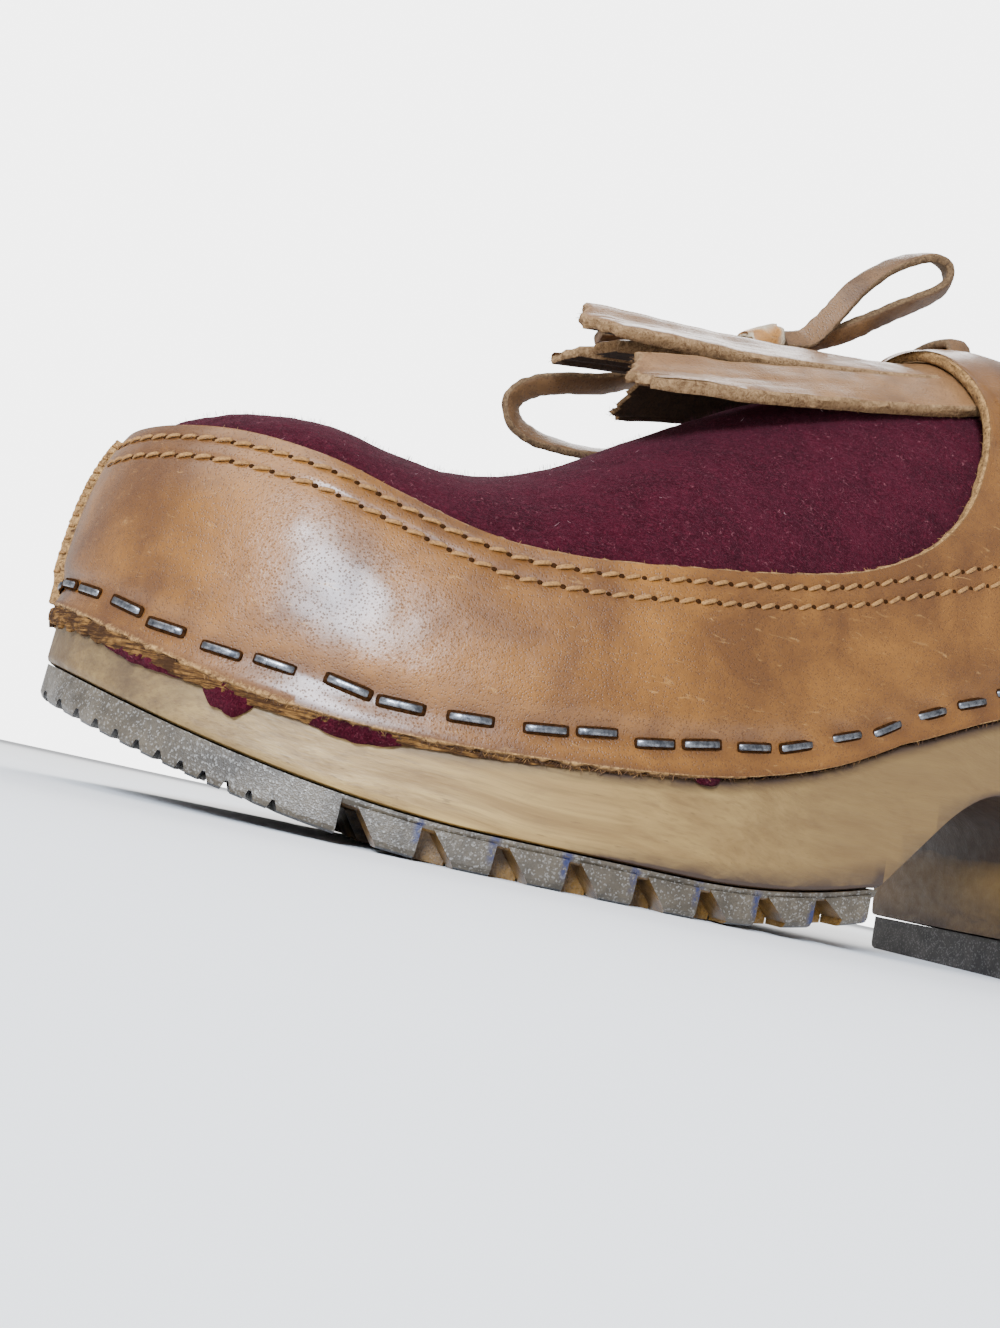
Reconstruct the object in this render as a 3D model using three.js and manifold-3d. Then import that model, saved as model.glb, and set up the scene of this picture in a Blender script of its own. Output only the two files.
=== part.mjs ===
// A left clog: a carved wooden sole with rubber treads, a wool felt upper, a leather rand over it with a
// window, a leather fringe and a flat lace tied in a bow. Millimetres, z up, the toe at -x, the outer side at -y.
import * as THREE from 'three';
import { mergeVertices } from 'three/addons/utils/BufferGeometryUtils.js';
import Module from 'manifold-3d';

const wasm = await Module();
wasm.setup();

// Main sizes
const soleLength = 255;
const ballWidth = 100;
const heelHeight = 69; // rim of the wood at the heel, above the floor
const toeHeight = 75; // felt over the toes, above the floor
const instepHeight = 140; // felt at the throat, above the floor
const fitGap = 0.3; // between two pieces that meet
const wrapGap = 0.45; // between the felt and the curved leather over it

// Walls
const feltWall = 2.4;
const leatherWall = 2.6;
const fringeWall = 2.8;
const seamProud = 2.2; // how far the butt seam at the toe stands off the leather
const seamWidth = 2.6;

// Wooden sole
const rabbetDepth = 4.2; // the ledge that the upper stands on
const rabbetRun = 1.6; // how far it runs on behind the upper
const rimRise = 9; // from the ledge up to the rim of the footbed
const rimDraft = 1; // how far the rabbet's wall leans in, clear of the upper's curve
const rimRound = 1.6;
const edgeWood = 11; // wood between the ledge and the tread at the ball
const bedDepth = 8; // the footbed below its rim
const bedMargin = 7;
const heelTaper = 2.6;
const spineStart = 42; // the middle line that the footbed and the bottom close on
const spineEnd = 216;

// Rubber treads
const treadThickness = 6.5;
const treadBase = 1.9; // rubber above the lugs
const treadRound = 1.4;
const treadInset = 0.4;
const treadEnd = 152;
const toeSpring = 14;
const flatStart = 76; // the forefoot's flat spot
const flatEnd = 112;
const rearLift = 5.5;
const ribCount = 12;
const ribPitch = 3.75;
const ribDepth = 1.7;
const lugPitch = 12;
const lugFoot = 5.4;
const lugSlope = 4.4;
const lugRoot = 0.6; // how far a lug reaches into the base
const lugCount = 8;
const firstLug = 66.6; // rear corner of the first lug
const edgeRow = 6.5; // width of the outer row of lugs
const rowLap = 0.3; // how far the outer row reaches into the inner ones
const innerRows = 4;
const heelTread = 8;
const heelTreadInset = 0.5;

// Arch and heel
const archAngle = 47; // degrees
const archTop = 34.5;
const archRound = 9;
const heelFront = 199;

// Upper
const upperEnd = 213; // where the topline meets the sole
const throat = 190; // where the topline crosses the instep
const domeCentre = 38; // the point over the toes that the toe sections meet at
const leanFade = 60; // over which the sections turn from the toes' dome to arches
const windowEnd = 184;
const windowCorner = 50;
const windowSquareness = 3;

// Fringe
const fringeTuck = 5; // how far its root lies under the instep leather
const fringeReach = 66; // from the window's rear edge to the tips
const fringeSpread = 0.43; // share of the profile that the fringe covers on each side
const fringePoint = 4;
const fringeBand = 4; // uncut leather before the slits
const fringeSlit = 1.1;
const tuckFade = 24;

// Lace
const laceWidth = 5.4;
const laceWall = 2.2;
const laceTube = 3.6; // plain round stand-in of the free lace
const barOffset = 7; // the crossing, behind the window's rear edge
const barSpread = 0.16; // share of the profile that it covers on each side
const knotOffset = 34; // before the window's rear edge
const knotRise = 15.4; // its middle above the felt
const knotSize = [9, 12, 7];
const knotTilt = 32; // degrees, with the instep

// The sole's outline: half widths of the outer and inner side, as shares of ballWidth
const plan = [
  { at: 0.016, outer: 0.165, inner: 0.19 },
  { at: 0.047, outer: 0.275, inner: 0.325 },
  { at: 0.098, outer: 0.375, inner: 0.425 },
  { at: 0.176, outer: 0.455, inner: 0.475 },
  { at: 0.275, outer: 0.505, inner: 0.482 },
  { at: 0.353, outer: 0.515, inner: 0.457 },
  { at: 0.431, outer: 0.5, inner: 0.4 },
  { at: 0.51, outer: 0.46, inner: 0.35 },
  { at: 0.588, outer: 0.422, inner: 0.315 },
  { at: 0.667, outer: 0.392, inner: 0.303 },
  { at: 0.745, outer: 0.372, inner: 0.31 },
  { at: 0.824, outer: 0.357, inner: 0.325 },
  { at: 0.902, outer: 0.315, inner: 0.3 },
  { at: 0.961, outer: 0.215, inner: 0.205 },
];

// The side view of the wood: the ledge's climb from the ball to the heel, and the depth of the footbed
const side = [
  { at: 0, climb: -0.05, cup: 0.3 },
  { at: 0.12, climb: -0.05, cup: 0.45 },
  { at: 0.2, climb: -0.02, cup: 0.55 },
  { at: 0.275, climb: 0.02, cup: 0.6 },
  { at: 0.353, climb: 0.06, cup: 0.6 },
  { at: 0.431, climb: 0.12, cup: 0.5 },
  { at: 0.502, climb: 0.21, cup: 0.4 },
  { at: 0.55, climb: 0.29, cup: 0.4 },
  { at: 0.608, climb: 0.44, cup: 0.5 },
  { at: 0.67, climb: 0.64, cup: 0.7 },
  { at: 0.745, climb: 0.85, cup: 0.95 },
  { at: 0.816, climb: 0.94, cup: 1 },
  { at: 1, climb: 1, cup: 0.7 },
];

// The upper's ridge: its height between toeHeight (0) and instepHeight (1), its shift to the inner side as a share
// of ballWidth, and how square the section is
const ridge = [
  { at: 0, height: 0, shift: 0.02, square: 3.6 },
  { at: 0.15, height: 0, shift: 0.02, square: 3.4 },
  { at: 0.2, height: -0.02, shift: 0.025, square: 3 },
  { at: 0.24, height: -0.02, shift: 0.03, square: 2.8 },
  { at: 0.28, height: 0.02, shift: 0.03, square: 2.65 },
  { at: 0.333, height: 0.13, shift: 0.035, square: 2.5 },
  { at: 0.392, height: 0.3, shift: 0.045, square: 2.45 },
  { at: 0.47, height: 0.51, shift: 0.045, square: 2.38 },
  { at: 0.55, height: 0.7, shift: 0.04, square: 2.32 },
  { at: 0.627, height: 0.84, shift: 0.035, square: 2.26 },
  { at: 0.745, height: 1, shift: 0.03, square: 2.2 },
  { at: 0.84, height: 1.06, shift: 0.025, square: 2.15 },
];

// The window's lower edge: its height on the wall, as a share of the section's rise
const windowEdge = [
  { at: 0, share: 0.74 },
  { at: 0.1, share: 0.76 },
  { at: 0.2, share: 0.7 },
  { at: 0.3, share: 0.59 },
  { at: 0.4, share: 0.51 },
  { at: 0.5, share: 0.455 },
  { at: 0.6, share: 0.42 },
  { at: 0.7, share: 0.41 },
];

// The fringe's strips, from the outer side: length and lift of the free end
const strips = [
  { length: 0.99, lift: 15 },
  { length: 1.03, lift: 25 },
  { length: 0.95, lift: 20 },
  { length: 1.0, lift: 25 },
  { length: 0.8, lift: 15 },
  { length: 0.72, lift: 8 },
];

// A smooth value of one column of a table at a share along the sole
function smooth(rows, column, at) {
  const last = rows.length - 1;
  if (at <= rows[0].at) return rows[0][column];
  if (at >= rows[last].at) return rows[last][column];
  const k = rows.findIndex((row) => row.at > at) - 1;
  const slope = (i) => {
    const a = rows[Math.max(i - 1, 0)];
    const b = rows[Math.min(i + 1, last)];
    return (b[column] - a[column]) / (b.at - a.at);
  };
  const [p, q] = [rows[k], rows[k + 1]];
  const span = q.at - p.at;
  const t = (at - p.at) / span;
  const rise = (2 * t ** 3 - 3 * t ** 2 + 1) * p[column] + (3 * t ** 2 - 2 * t ** 3) * q[column];
  return rise + span * ((t ** 3 - 2 * t ** 2 + t) * slope(k) + (t ** 3 - t ** 2) * slope(k + 1));
}

const clamp = (value, low, high) => Math.min(Math.max(value, low), high);
const fade = (value) => { const t = clamp(value, 0, 1); return t * t * (3 - 2 * t); };

// How full the outline is beside a circle's half width: smooth up to both round ends
const fullness = plan.map((row) => {
  const circle = 2 * Math.sqrt(row.at * (1 - row.at));
  return { at: row.at, outer: row.outer / circle, inner: row.inner / circle };
});

// The outline by angle: 0 at the toe, pi at the heel, positive on the outer side
function outline(angle) {
  const at = (1 - Math.cos(angle)) / 2;
  const full = smooth(fullness, angle >= 0 ? 'outer' : 'inner', at);
  return new THREE.Vector2(at * soleLength, -ballWidth * full * Math.sin(angle));
}

function insetOutline(angle, inset) {
  const step = 0.004;
  const run = outline(angle + step).sub(outline(angle - step)).normalize();
  return outline(angle).add(new THREE.Vector2(-run.y, run.x).multiplyScalar(inset));
}

const angleAt = (x) => Math.acos(1 - (2 * x) / soleLength);

// The side view's heights
function rocker(x) {
  const front = Math.max((flatStart - x) / flatStart, 0);
  const rear = clamp((x - flatEnd) / (treadEnd - flatEnd), 0, 1);
  return toeSpring * front ** 1.8 + rearLift * rear ** 2;
}

function woodBottom(x) {
  const front = rocker(x) + treadThickness;
  return front + (heelTread - front) * clamp((x - treadEnd) / (heelFront - treadEnd), 0, 1);
}

function ledge(x) {
  const low = rocker(x) + treadThickness + edgeWood;
  const high = heelHeight - rimRise;
  return low + smooth(side, 'climb', x / soleLength) * (high - low);
}

const rabbetAt = (x) => (x < upperEnd + rabbetRun ? rabbetDepth : 0);

// Closed bodies: welded points and faces that face out
function closedGeometry(points, faces) {
  const flat = points.flatMap((point) => point.toArray());
  const geometry = new THREE.BufferGeometry();
  geometry.setAttribute('position', new THREE.Float32BufferAttribute(flat, 3));
  geometry.setIndex(faces.flat());
  let volume = 0;
  for (const [a, b, c] of faces) volume += points[a].dot(points[b].clone().cross(points[c]));
  if (volume < 0) geometry.setIndex(faces.flatMap(([a, b, c]) => [a, c, b]));
  return geometry;
}

function weld(points, faces) {
  const places = new Map();
  const kept = [];
  const first = [];
  const index = points.map((point, i) => {
    const place = point.toArray().map((value) => Math.round(value * 1000)).join(' ');
    if (!places.has(place)) {
      places.set(place, kept.length);
      kept.push(point);
      first.push(i);
    }
    return places.get(place);
  });
  const joined = faces.map((face) => face.map((i) => index[i]));
  return { points: kept, first, faces: joined.filter(([a, b, c]) => a !== b && b !== c && c !== a) };
}

function quads(columns, rows, closed, cell = () => true) {
  const faces = [];
  for (let i = 0; i < (closed ? columns : columns - 1); i += 1) {
    for (let j = 0; j < rows - 1; j += 1) {
      if (!cell(i, j)) continue;
      const a = i * rows + j;
      const b = ((i + 1) % columns) * rows + j;
      faces.push([a, b, b + 1], [a, b + 1, a + 1]);
    }
  }
  return faces;
}

// A solid of rings round the outline: its first and last ring lie on the spine
function ringSolid(angles, rings) {
  const points = angles.flatMap((angle) => rings.map((ring) => ring(angle)));
  const sheet = weld(points, quads(angles.length, rings.length, true));
  return closedGeometry(sheet.points, sheet.faces);
}

function ringPoint(angle, inset, height) {
  const place = insetOutline(angle, inset);
  return new THREE.Vector3(place.x, place.y, height(place.x));
}

function spinePoint(angle, height, share = 1, inset = 0) {
  const edge = insetOutline(angle, inset);
  const x = clamp(outline(angle).x, spineStart, spineEnd);
  const place = edge.lerp(new THREE.Vector2(x, 0), share);
  return new THREE.Vector3(place.x, place.y, height(place.x, share));
}

// A sheet of points given a wall: near and far are each point's distances off the sheet, and the points marked as
// feet stay level and stand on the ledge
function shell(sheet, near, far, feet = []) {
  const normals = sheet.points.map(() => new THREE.Vector3());
  const edges = new Map();
  for (const [a, b, c] of sheet.faces) {
    const ab = sheet.points[b].clone().sub(sheet.points[a]);
    const normal = ab.cross(sheet.points[c].clone().sub(sheet.points[a]));
    for (const [from, to] of [[a, b], [b, c], [c, a]]) {
      normals[from].add(normal);
      if (!edges.delete(`${to} ${from}`)) edges.set(`${from} ${to}`, [from, to]);
    }
  }
  const stands = sheet.first.map((i) => Boolean(feet[i]));
  normals.forEach((normal, i) => { normal.z *= stands[i] ? 0 : 1; normal.normalize(); });
  const move = (distance) => sheet.points.map((point, i) => {
    const moved = point.clone().addScaledVector(normals[i], distance[sheet.first[i]]);
    if (stands[i]) moved.z = ledge(moved.x) + fitGap;
    return moved;
  });
  const count = sheet.points.length;
  const faces = [...sheet.faces.map(([a, b, c]) => [a + count, b + count, c + count])];
  faces.push(...sheet.faces.map(([a, b, c]) => [a, c, b]));
  for (const [from, to] of edges.values()) {
    faces.push([from, to, to + count], [from, to + count, from + count]);
  }
  return closedGeometry([...move(near), ...move(far)], faces);
}

// Joins and cuts
function toSolid(geometry) {
  const bare = geometry.clone();
  bare.deleteAttribute('normal');
  bare.deleteAttribute('uv');
  const merged = mergeVertices(bare, 1e-4);
  const vertProperties = new Float32Array(merged.attributes.position.array);
  return new wasm.Manifold(new wasm.Mesh({ numProp: 3, vertProperties, triVerts: new Uint32Array(merged.index.array) }));
}

function toGeometry(solid) {
  const mesh = solid.getMesh();
  const geometry = new THREE.BufferGeometry();
  geometry.setAttribute('position', new THREE.Float32BufferAttribute(mesh.vertProperties, 3));
  geometry.setIndex(new THREE.Uint32BufferAttribute(mesh.triVerts, 1));
  return geometry;
}

// The largest of the bodies that cuts leave, without the slivers
function mainBody(solid) {
  return solid.decompose().reduce((kept, body) => (body.volume() > kept.volume() ? body : kept));
}

// A prism whose side view is the given list of [x, z], between two y places
function prism(corners, yFrom, yTo) {
  const shape = new THREE.Shape(corners.map(([x, z]) => new THREE.Vector2(x, z)));
  return prismOf(shape, yFrom, yTo);
}

function prismOf(shape, yFrom, yTo) {
  const body = new THREE.ExtrudeGeometry(shape, { depth: yTo - yFrom, bevelEnabled: false, curveSegments: 5 });
  body.rotateX(Math.PI / 2);
  body.translate(0, yTo, 0);
  return toSolid(body);
}

// The columns that the wood, the treads and the upper share
const columnStep = THREE.MathUtils.degToRad(5);
const halfColumns = [];
for (let angle = 0; angle < Math.PI - columnStep / 2; angle += columnStep) halfColumns.push(angle);

function bothSides(half, heel = []) {
  const sorted = [...half].sort((a, b) => a - b);
  const inner = sorted.filter((angle) => angle > 1e-6).map((angle) => -angle).reverse();
  return [...inner, ...sorted, ...heel];
}

// Wooden sole
function woodSole() {
  const rabbetStep = [0.98, 1.02].map((share) => angleAt(upperEnd + share * rabbetRun));
  const angles = bothSides([...halfColumns, ...rabbetStep], [Math.PI]);
  const rim = (x) => ledge(x) + rimRise;
  const bed = (depth) => (x) => rim(x) - depth * bedDepth * smooth(side, 'cup', x / soleLength);
  const taper = (angle) => heelTaper * fade((outline(angle).x - treadEnd) / (heelFront - treadEnd));
  const rabbet = (angle) => rabbetAt(outline(angle).x);
  const body = ringSolid(angles, [
    (angle) => spinePoint(angle, woodBottom),
    (angle) => ringPoint(angle, taper(angle), woodBottom),
    (angle) => ringPoint(angle, taper(angle) * 0.15, (x) => ledge(x) - 6),
    (angle) => ringPoint(angle, 0, ledge),
    (angle) => ringPoint(angle, rabbet(angle), ledge),
    (angle) => ringPoint(angle, rabbet(angle) + rimDraft, (x) => rim(x) - rimRound),
    (angle) => ringPoint(angle, rabbet(angle) + rimDraft + rimRound, rim),
    (angle) => ringPoint(angle, rabbet(angle) + rimDraft + rimRound + bedMargin, bed(0.35)),
    (angle) => spinePoint(angle, bed(0.8), 0.5, rabbetDepth),
    (angle) => spinePoint(angle, bed(1)),
  ]);
  const slope = Math.tan(THREE.MathUtils.degToRad(archAngle));
  const foot = woodBottom(treadEnd);
  const crown = treadEnd + (archTop - foot) / slope;
  const arch = new THREE.Shape();
  arch.moveTo(treadEnd, -1);
  arch.lineTo(treadEnd, foot);
  arch.lineTo(crown - archRound / slope, archTop - archRound);
  arch.quadraticCurveTo(crown, archTop, crown + archRound * 0.8, archTop);
  arch.quadraticCurveTo(heelFront - 2, archTop, heelFront - 1, archTop - archRound * 1.4);
  arch.lineTo(heelFront, -1);
  return toGeometry(toSolid(body).subtract(prismOf(arch, -ballWidth, ballWidth)));
}

// Forefoot tread: an envelope under the wood, cut to a base with ribs at the toe and rows of lugs
function treadEnvelope(inset, bottom, over = 0) {
  const angles = bothSides(halfColumns, [Math.PI]);
  const top = (x) => woodBottom(x) - fitGap + over;
  const low = (x) => rocker(x) + bottom;
  return toSolid(ringSolid(angles, [
    (angle) => spinePoint(angle, low),
    (angle) => ringPoint(angle, inset + treadRound, low),
    (angle) => ringPoint(angle, inset, (x) => low(x) + treadRound * 0.8),
    (angle) => ringPoint(angle, inset, top),
    (angle) => spinePoint(angle, top),
  ]));
}

function lug(corner, yFrom, yTo) {
  const root = (x) => rocker(x) + treadThickness - treadBase + lugRoot;
  const heel = corner - lugFoot;
  return prism([
    [heel, -1],
    [heel, rocker(corner) + 0.05],
    [heel - lugSlope, root(heel - lugSlope)],
    [corner + 0.4, root(corner + 0.4)],
    [corner, -1],
  ], yFrom, yTo);
}

function forefootTread() {
  const reach = ballWidth;
  const lugDepth = treadThickness - treadBase;
  const ribEnd = firstLug - lugFoot - lugSlope - 2.6;
  const whole = treadEnvelope(treadInset, 0);
  const core = treadEnvelope(treadInset + edgeRow, -treadRound * 2, treadRound);
  const edgeCore = treadEnvelope(treadInset + edgeRow + rowLap, -treadRound * 2, treadRound);
  let body = treadEnvelope(treadInset, lugDepth);
  body = body.add(whole.intersect(prism([[-5, -5], [ribEnd, -5], [ribEnd, 40], [-5, 40]], -reach, reach)));
  let edge = null;
  let inner = null;
  for (let k = 0; k < lugCount; k += 1) {
    const corner = firstLug + k * lugPitch;
    edge = edge ? edge.add(lug(corner, -reach, reach)) : lug(corner, -reach, reach);
    for (let row = 0; row < innerRows; row += 1) {
      const width = ballWidth / innerRows;
      const yFrom = -ballWidth / 2 + row * width;
      const shift = row % 2 ? 0 : lugPitch / 2;
      const block = lug(corner + shift, yFrom + 0.4, yFrom + width - 0.4);
      inner = inner ? inner.add(block) : block;
    }
  }
  body = body.add(edge.subtract(edgeCore).add(inner.intersect(core)).intersect(whole));
  for (let k = 0; k < ribCount; k += 1) {
    const x = 3 + k * ribPitch;
    const low = rocker(x);
    const groove = [[x - 1.1, low - 3], [x + 1.1, low - 3], [x + 0.9, low], [x, low + ribDepth], [x - 0.9, low]];
    body = body.subtract(prism(groove, -reach, reach));
  }
  const kept = prism([[-9, -9], [treadEnd, -9], [treadEnd, 40], [-9, 40]], -reach, reach);
  return toGeometry(mainBody(body.intersect(kept)));
}

// Heel tread
function heelTreadSolid() {
  const inset = heelTaper + heelTreadInset;
  const angles = bothSides(halfColumns, [Math.PI]);
  const body = toSolid(ringSolid(angles, [
    (angle) => spinePoint(angle, () => 0),
    (angle) => ringPoint(angle, inset + treadRound, () => 0),
    (angle) => ringPoint(angle, inset, () => treadRound),
    (angle) => ringPoint(angle, inset, (x) => woodBottom(x) - fitGap),
    (angle) => spinePoint(angle, (x) => woodBottom(x) - fitGap),
  ]));
  const front = heelFront + heelTreadInset;
  const back = soleLength + 9;
  return toGeometry(body.intersect(prism([[front, -9], [back, -9], [back, 40], [front, 40]], -ballWidth, ballWidth)));
}

// The upper's own surface (the felt's outside): angle round the outline, rise from the ledge to the ridge
function ridgeStation(x) {
  return domeCentre + (Math.max(x, domeCentre) - domeCentre) * ((throat - domeCentre) / (upperEnd - domeCentre));
}

const columnOfRidge = (x) => domeCentre + (x - domeCentre) * ((upperEnd - domeCentre) / (throat - domeCentre));

function ridgePoint(x) {
  const at = x / soleLength;
  const z = toeHeight + smooth(ridge, 'height', at) * (instepHeight - toeHeight);
  return new THREE.Vector3(x, smooth(ridge, 'shift', at) * ballWidth, z);
}

const feltInset = rabbetDepth - fitGap - feltWall;

function upperPoint(angle, rise) {
  const x = outline(angle).x;
  const foot = insetOutline(angle, feltInset);
  const top = ridgePoint(ridgeStation(x));
  const power = 2 / smooth(ridge, 'square', x / soleLength);
  const inward = 1 - Math.cos(rise * Math.PI / 2) ** power;
  const upward = Math.sin(rise * Math.PI / 2) ** power;
  const low = ledge(foot.x) + fitGap;
  const lean = Math.sin(rise * Math.PI / 2) ** 2; // level where it crosses the ridge
  const behindToes = fade((x - domeCentre) / leanFade);
  return new THREE.Vector3(
    foot.x + (top.x - foot.x) * (inward + (lean - inward) * behindToes),
    foot.y + (top.y - foot.y) * inward,
    low + (top.z - low) * upward,
  );
}

// The columns of the upper: closer at the toe's seam and round the window's rear corners
const endAngle = angleAt(upperEnd);
const seamAngles = [seamWidth / 2 - 0.25, seamWidth / 2].map((half) => half / (ballWidth * fullness[0].outer));
const cornerAngles = [1, 4, 9, 17, 28].map((back) => angleAt(windowEnd - back));
const rearAngles = [0, 6, 13, 24].map((back) => angleAt(windowEnd + back));
const frontAngles = halfColumns.filter((angle) => outline(angle).x < windowEnd - 36);
const upperAngles = bothSides([...frontAngles, ...seamAngles, ...cornerAngles, ...rearAngles, endAngle]);

// Felt vamp
const feltRows = 11;

function feltVamp() {
  const points = upperAngles.flatMap((angle) => (
    Array.from({ length: feltRows }, (_, j) => upperPoint(angle, j / (feltRows - 1)))));
  const sheet = weld(points, quads(upperAngles.length, feltRows, false));
  return shell(sheet, points.map(() => -feltWall), points.map(() => 0), points.map((_, i) => i % feltRows === 0));
}

// Leather rand: from the ledge to the window's edge, and right over the instep behind the window
function windowRise(angle) {
  const x = outline(angle).x;
  if (x >= windowEnd) return 1;
  const share = smooth(windowEdge, 'share', x / soleLength);
  const square = smooth(ridge, 'square', x / soleLength);
  const low = Math.asin(share ** (square / 2)) / (Math.PI / 2);
  const turn = clamp((x - windowEnd + windowCorner) / windowCorner, 0, 1);
  return low + (1 - low) * (1 - (1 - turn ** windowSquareness) ** (1 / windowSquareness));
}

const fringeRoot = ridgeStation(windowEnd);

// How far the leather is lifted where the fringe's root lies under it
function tuckLift(angle, rise) {
  const behind = ridgeStation(outline(angle).x) - fringeRoot;
  const across = (1 - rise) / fringeSpread;
  return (fringeWall + fitGap) * fade((tuckFade - behind) / (tuckFade - fringeTuck)) * fade((1.5 - across) / 0.5);
}

function leatherRand() {
  const rows = 9;
  const points = [];
  const near = [];
  const far = [];
  for (const angle of upperAngles) {
    const inSeam = Math.abs(angle) <= seamAngles[0] + 1e-6;
    for (let j = 0; j < rows; j += 1) {
      const rise = windowRise(angle) * (j / (rows - 1));
      const lift = outline(angle).x > windowEnd - windowCorner ? tuckLift(angle, rise) : 0;
      points.push(upperPoint(angle, rise));
      near.push(wrapGap + lift);
      far.push(wrapGap + lift + leatherWall + (inSeam ? seamProud : 0));
    }
  }
  const feet = points.map((_, i) => i % rows === 0);
  return shell(weld(points, quads(upperAngles.length, rows, false)), near, far, feet);
}

// Fringe: one root under the instep leather, slit into strips that stand off the felt
const rootRows = 3;
const stripRows = 6;
const liftLean = new THREE.Vector3(-0.45, 0, 0.9);

function fringeStation(j, length, tip) {
  const inRoot = j / (rootRows - 1);
  if (inRoot <= 1) return fringeRoot + fringeTuck - inRoot * (fringeTuck + fringeBand);
  const out = (j - rootRows + 1) / stripRows;
  return fringeRoot - fringeBand - out * (fringeReach * length - fringeBand) - (out === 1 ? tip : 0);
}

function fringe() {
  const rows = rootRows + stripRows;
  const slit = fringeSlit / (fringeSpread * ballWidth);
  const across = strips.flatMap((strip, k) => {
    const from = -1 + (2 * k) / strips.length + slit / 2;
    const to = -1 + (2 * (k + 1)) / strips.length - slit / 2;
    return [[from, strip, 0], [(from + to) / 2, strip, fringePoint], [to, strip, 0]];
  });
  const points = across.flatMap(([place, strip, tip]) => Array.from({ length: rows }, (_, j) => {
    const out = Math.max(j - rootRows + 1, 0) / stripRows;
    const angle = angleAt(columnOfRidge(fringeStation(j, strip.length, tip))) * (place < 0 ? 1 : -1);
    const point = upperPoint(angle, 1 - Math.abs(place) * fringeSpread);
    return point.addScaledVector(liftLean, strip.lift * out ** 1.5);
  }));
  const joined = (i, j) => i % 3 !== 2 || j < rootRows - 1;
  const sheet = weld(points, quads(across.length, rows, false, joined));
  return shell(sheet, points.map(() => fitGap), points.map(() => fitGap + fringeWall));
}

// Lace: the crossing on the instep leather, and the bow's free lengths
function laceBar() {
  const places = [-1, -0.8, -0.4, 0, 0.4, 0.8, 1];
  const stations = [1, 0.5, 0].map((share) => fringeRoot + barOffset + share * laceWidth);
  const points = places.flatMap((place) => stations.map((station) => (
    upperPoint(angleAt(columnOfRidge(station)) * (place < 0 ? 1 : -1), 1 - Math.abs(place) * barSpread))));
  const top = wrapGap + fringeWall + fitGap + leatherWall + fitGap;
  const sheet = weld(points, quads(places.length, stations.length, false));
  return shell(sheet, points.map(() => top), points.map(() => top + laceWall));
}

function knotCentre() {
  return ridgePoint(fringeRoot - knotOffset).add(new THREE.Vector3(0, 0, knotRise));
}

function knot() {
  const body = new THREE.SphereGeometry(1, 12, 8);
  const centre = knotCentre();
  body.scale(knotSize[0] / 2, knotSize[1] / 2, knotSize[2] / 2);
  body.rotateY(-THREE.MathUtils.degToRad(knotTilt));
  body.translate(centre.x, centre.y, centre.z);
  return toGeometry(toSolid(body));
}

function freeLace(route) {
  const centre = knotCentre();
  const curve = new THREE.CatmullRomCurve3(route.map(([x, y, z]) => new THREE.Vector3(x, y, z).add(centre)));
  const round = new THREE.EllipseCurve(0, 0, laceTube / 2, laceTube / 2).getPoints(8).slice(0, 8);
  const steps = Math.round(curve.getLength() / (laceTube * 2));
  return new THREE.ExtrudeGeometry(new THREE.Shape(round), { steps, extrudePath: curve, bevelEnabled: false });
}

// The routes of the lace's free lengths, from the knot's middle: x back, y to the inner side, z up
const laceRoutes = {
  lace_loop_rear: [
    [4.3, -2.4, 2.2], [9, -3, 3.6], [12.5, -3.6, 8], [16, -4.2, 14], [20, -4.8, 20.5], [26, -5, 27], [32, -5, 31.5],
    [38, -5, 34], [42, -4.6, 33], [43, -4, 29.5], [40.5, -3.4, 26], [36, -2.6, 22.5], [30, -1.6, 18], [25, -0.6, 14],
    [20, 0.6, 10.4], [15, 1.6, 7.4], [10, 2.4, 5], [4.3, 2.4, 2.6],
  ],
  lace_loop_front: [
    [-4.6, 1.6, -1.7], [-9, 5, -3.2], [-14, 9, -5.4], [-20, 12, -8.8], [-26, 13.5, -11.6], [-33, 14, -14.6],
    [-41, 14, -17], [-47, 14, -19.5], [-51, 14, -22.5], [-52.5, 14, -26], [-50.5, 14, -30], [-46, 14, -32],
    [-40, 14, -32.5], [-33, 14, -32], [-26, 14, -30.4], [-18, 13.2, -27.6], [-10, 12.2, -23.6],
  ],
  lace_end: [[-4.3, -2.9, -2], [-10, -4, -4.9], [-18, -4, -6.7], [-26, -4, -8.3], [-34, -4, -10.3], [-40, -4, -12.4]],
};

// Materials
function finish(color, roughness) {
  return new THREE.MeshStandardMaterial({ color, roughness, metalness: 0 });
}

const clog = new THREE.Group();
const extent = new THREE.Box3();

function addPiece(name, geometry, material) {
  const piece = new THREE.Mesh(geometry, material);
  piece.name = name;
  clog.add(piece);
}

function addHeldPiece(name, geometry, material) {
  addPiece(name, geometry, material);
  geometry.computeBoundingBox();
  extent.union(geometry.boundingBox);
}

addHeldPiece('wood_sole', woodSole(), finish(0xc4a073, 0.6));
addHeldPiece('forefoot_tread', forefootTread(), finish(0x8c8278, 0.5));
addHeldPiece('heel_tread', heelTreadSolid(), finish(0x8c8278, 0.5));
addHeldPiece('felt_vamp', feltVamp(), finish(0x551c30, 0.95));
addHeldPiece('leather_rand', leatherRand(), finish(0xb07c4e, 0.45));
addHeldPiece('fringe', fringe(), finish(0xa8764b, 0.5));
addHeldPiece('lace_bar', laceBar(), finish(0x9c6a42, 0.5));
addPiece('lace_knot', knot(), finish(0x9c6a42, 0.5));
for (const [name, route] of Object.entries(laceRoutes)) addPiece(name, freeLace(route), finish(0x9c6a42, 0.5));

// The origin: the floor under the middle of the shoe without its free lace
const centre = extent.getCenter(new THREE.Vector3());
clog.children.forEach((piece) => piece.position.set(-centre.x, -centre.y, 0));

export default clog;
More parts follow.
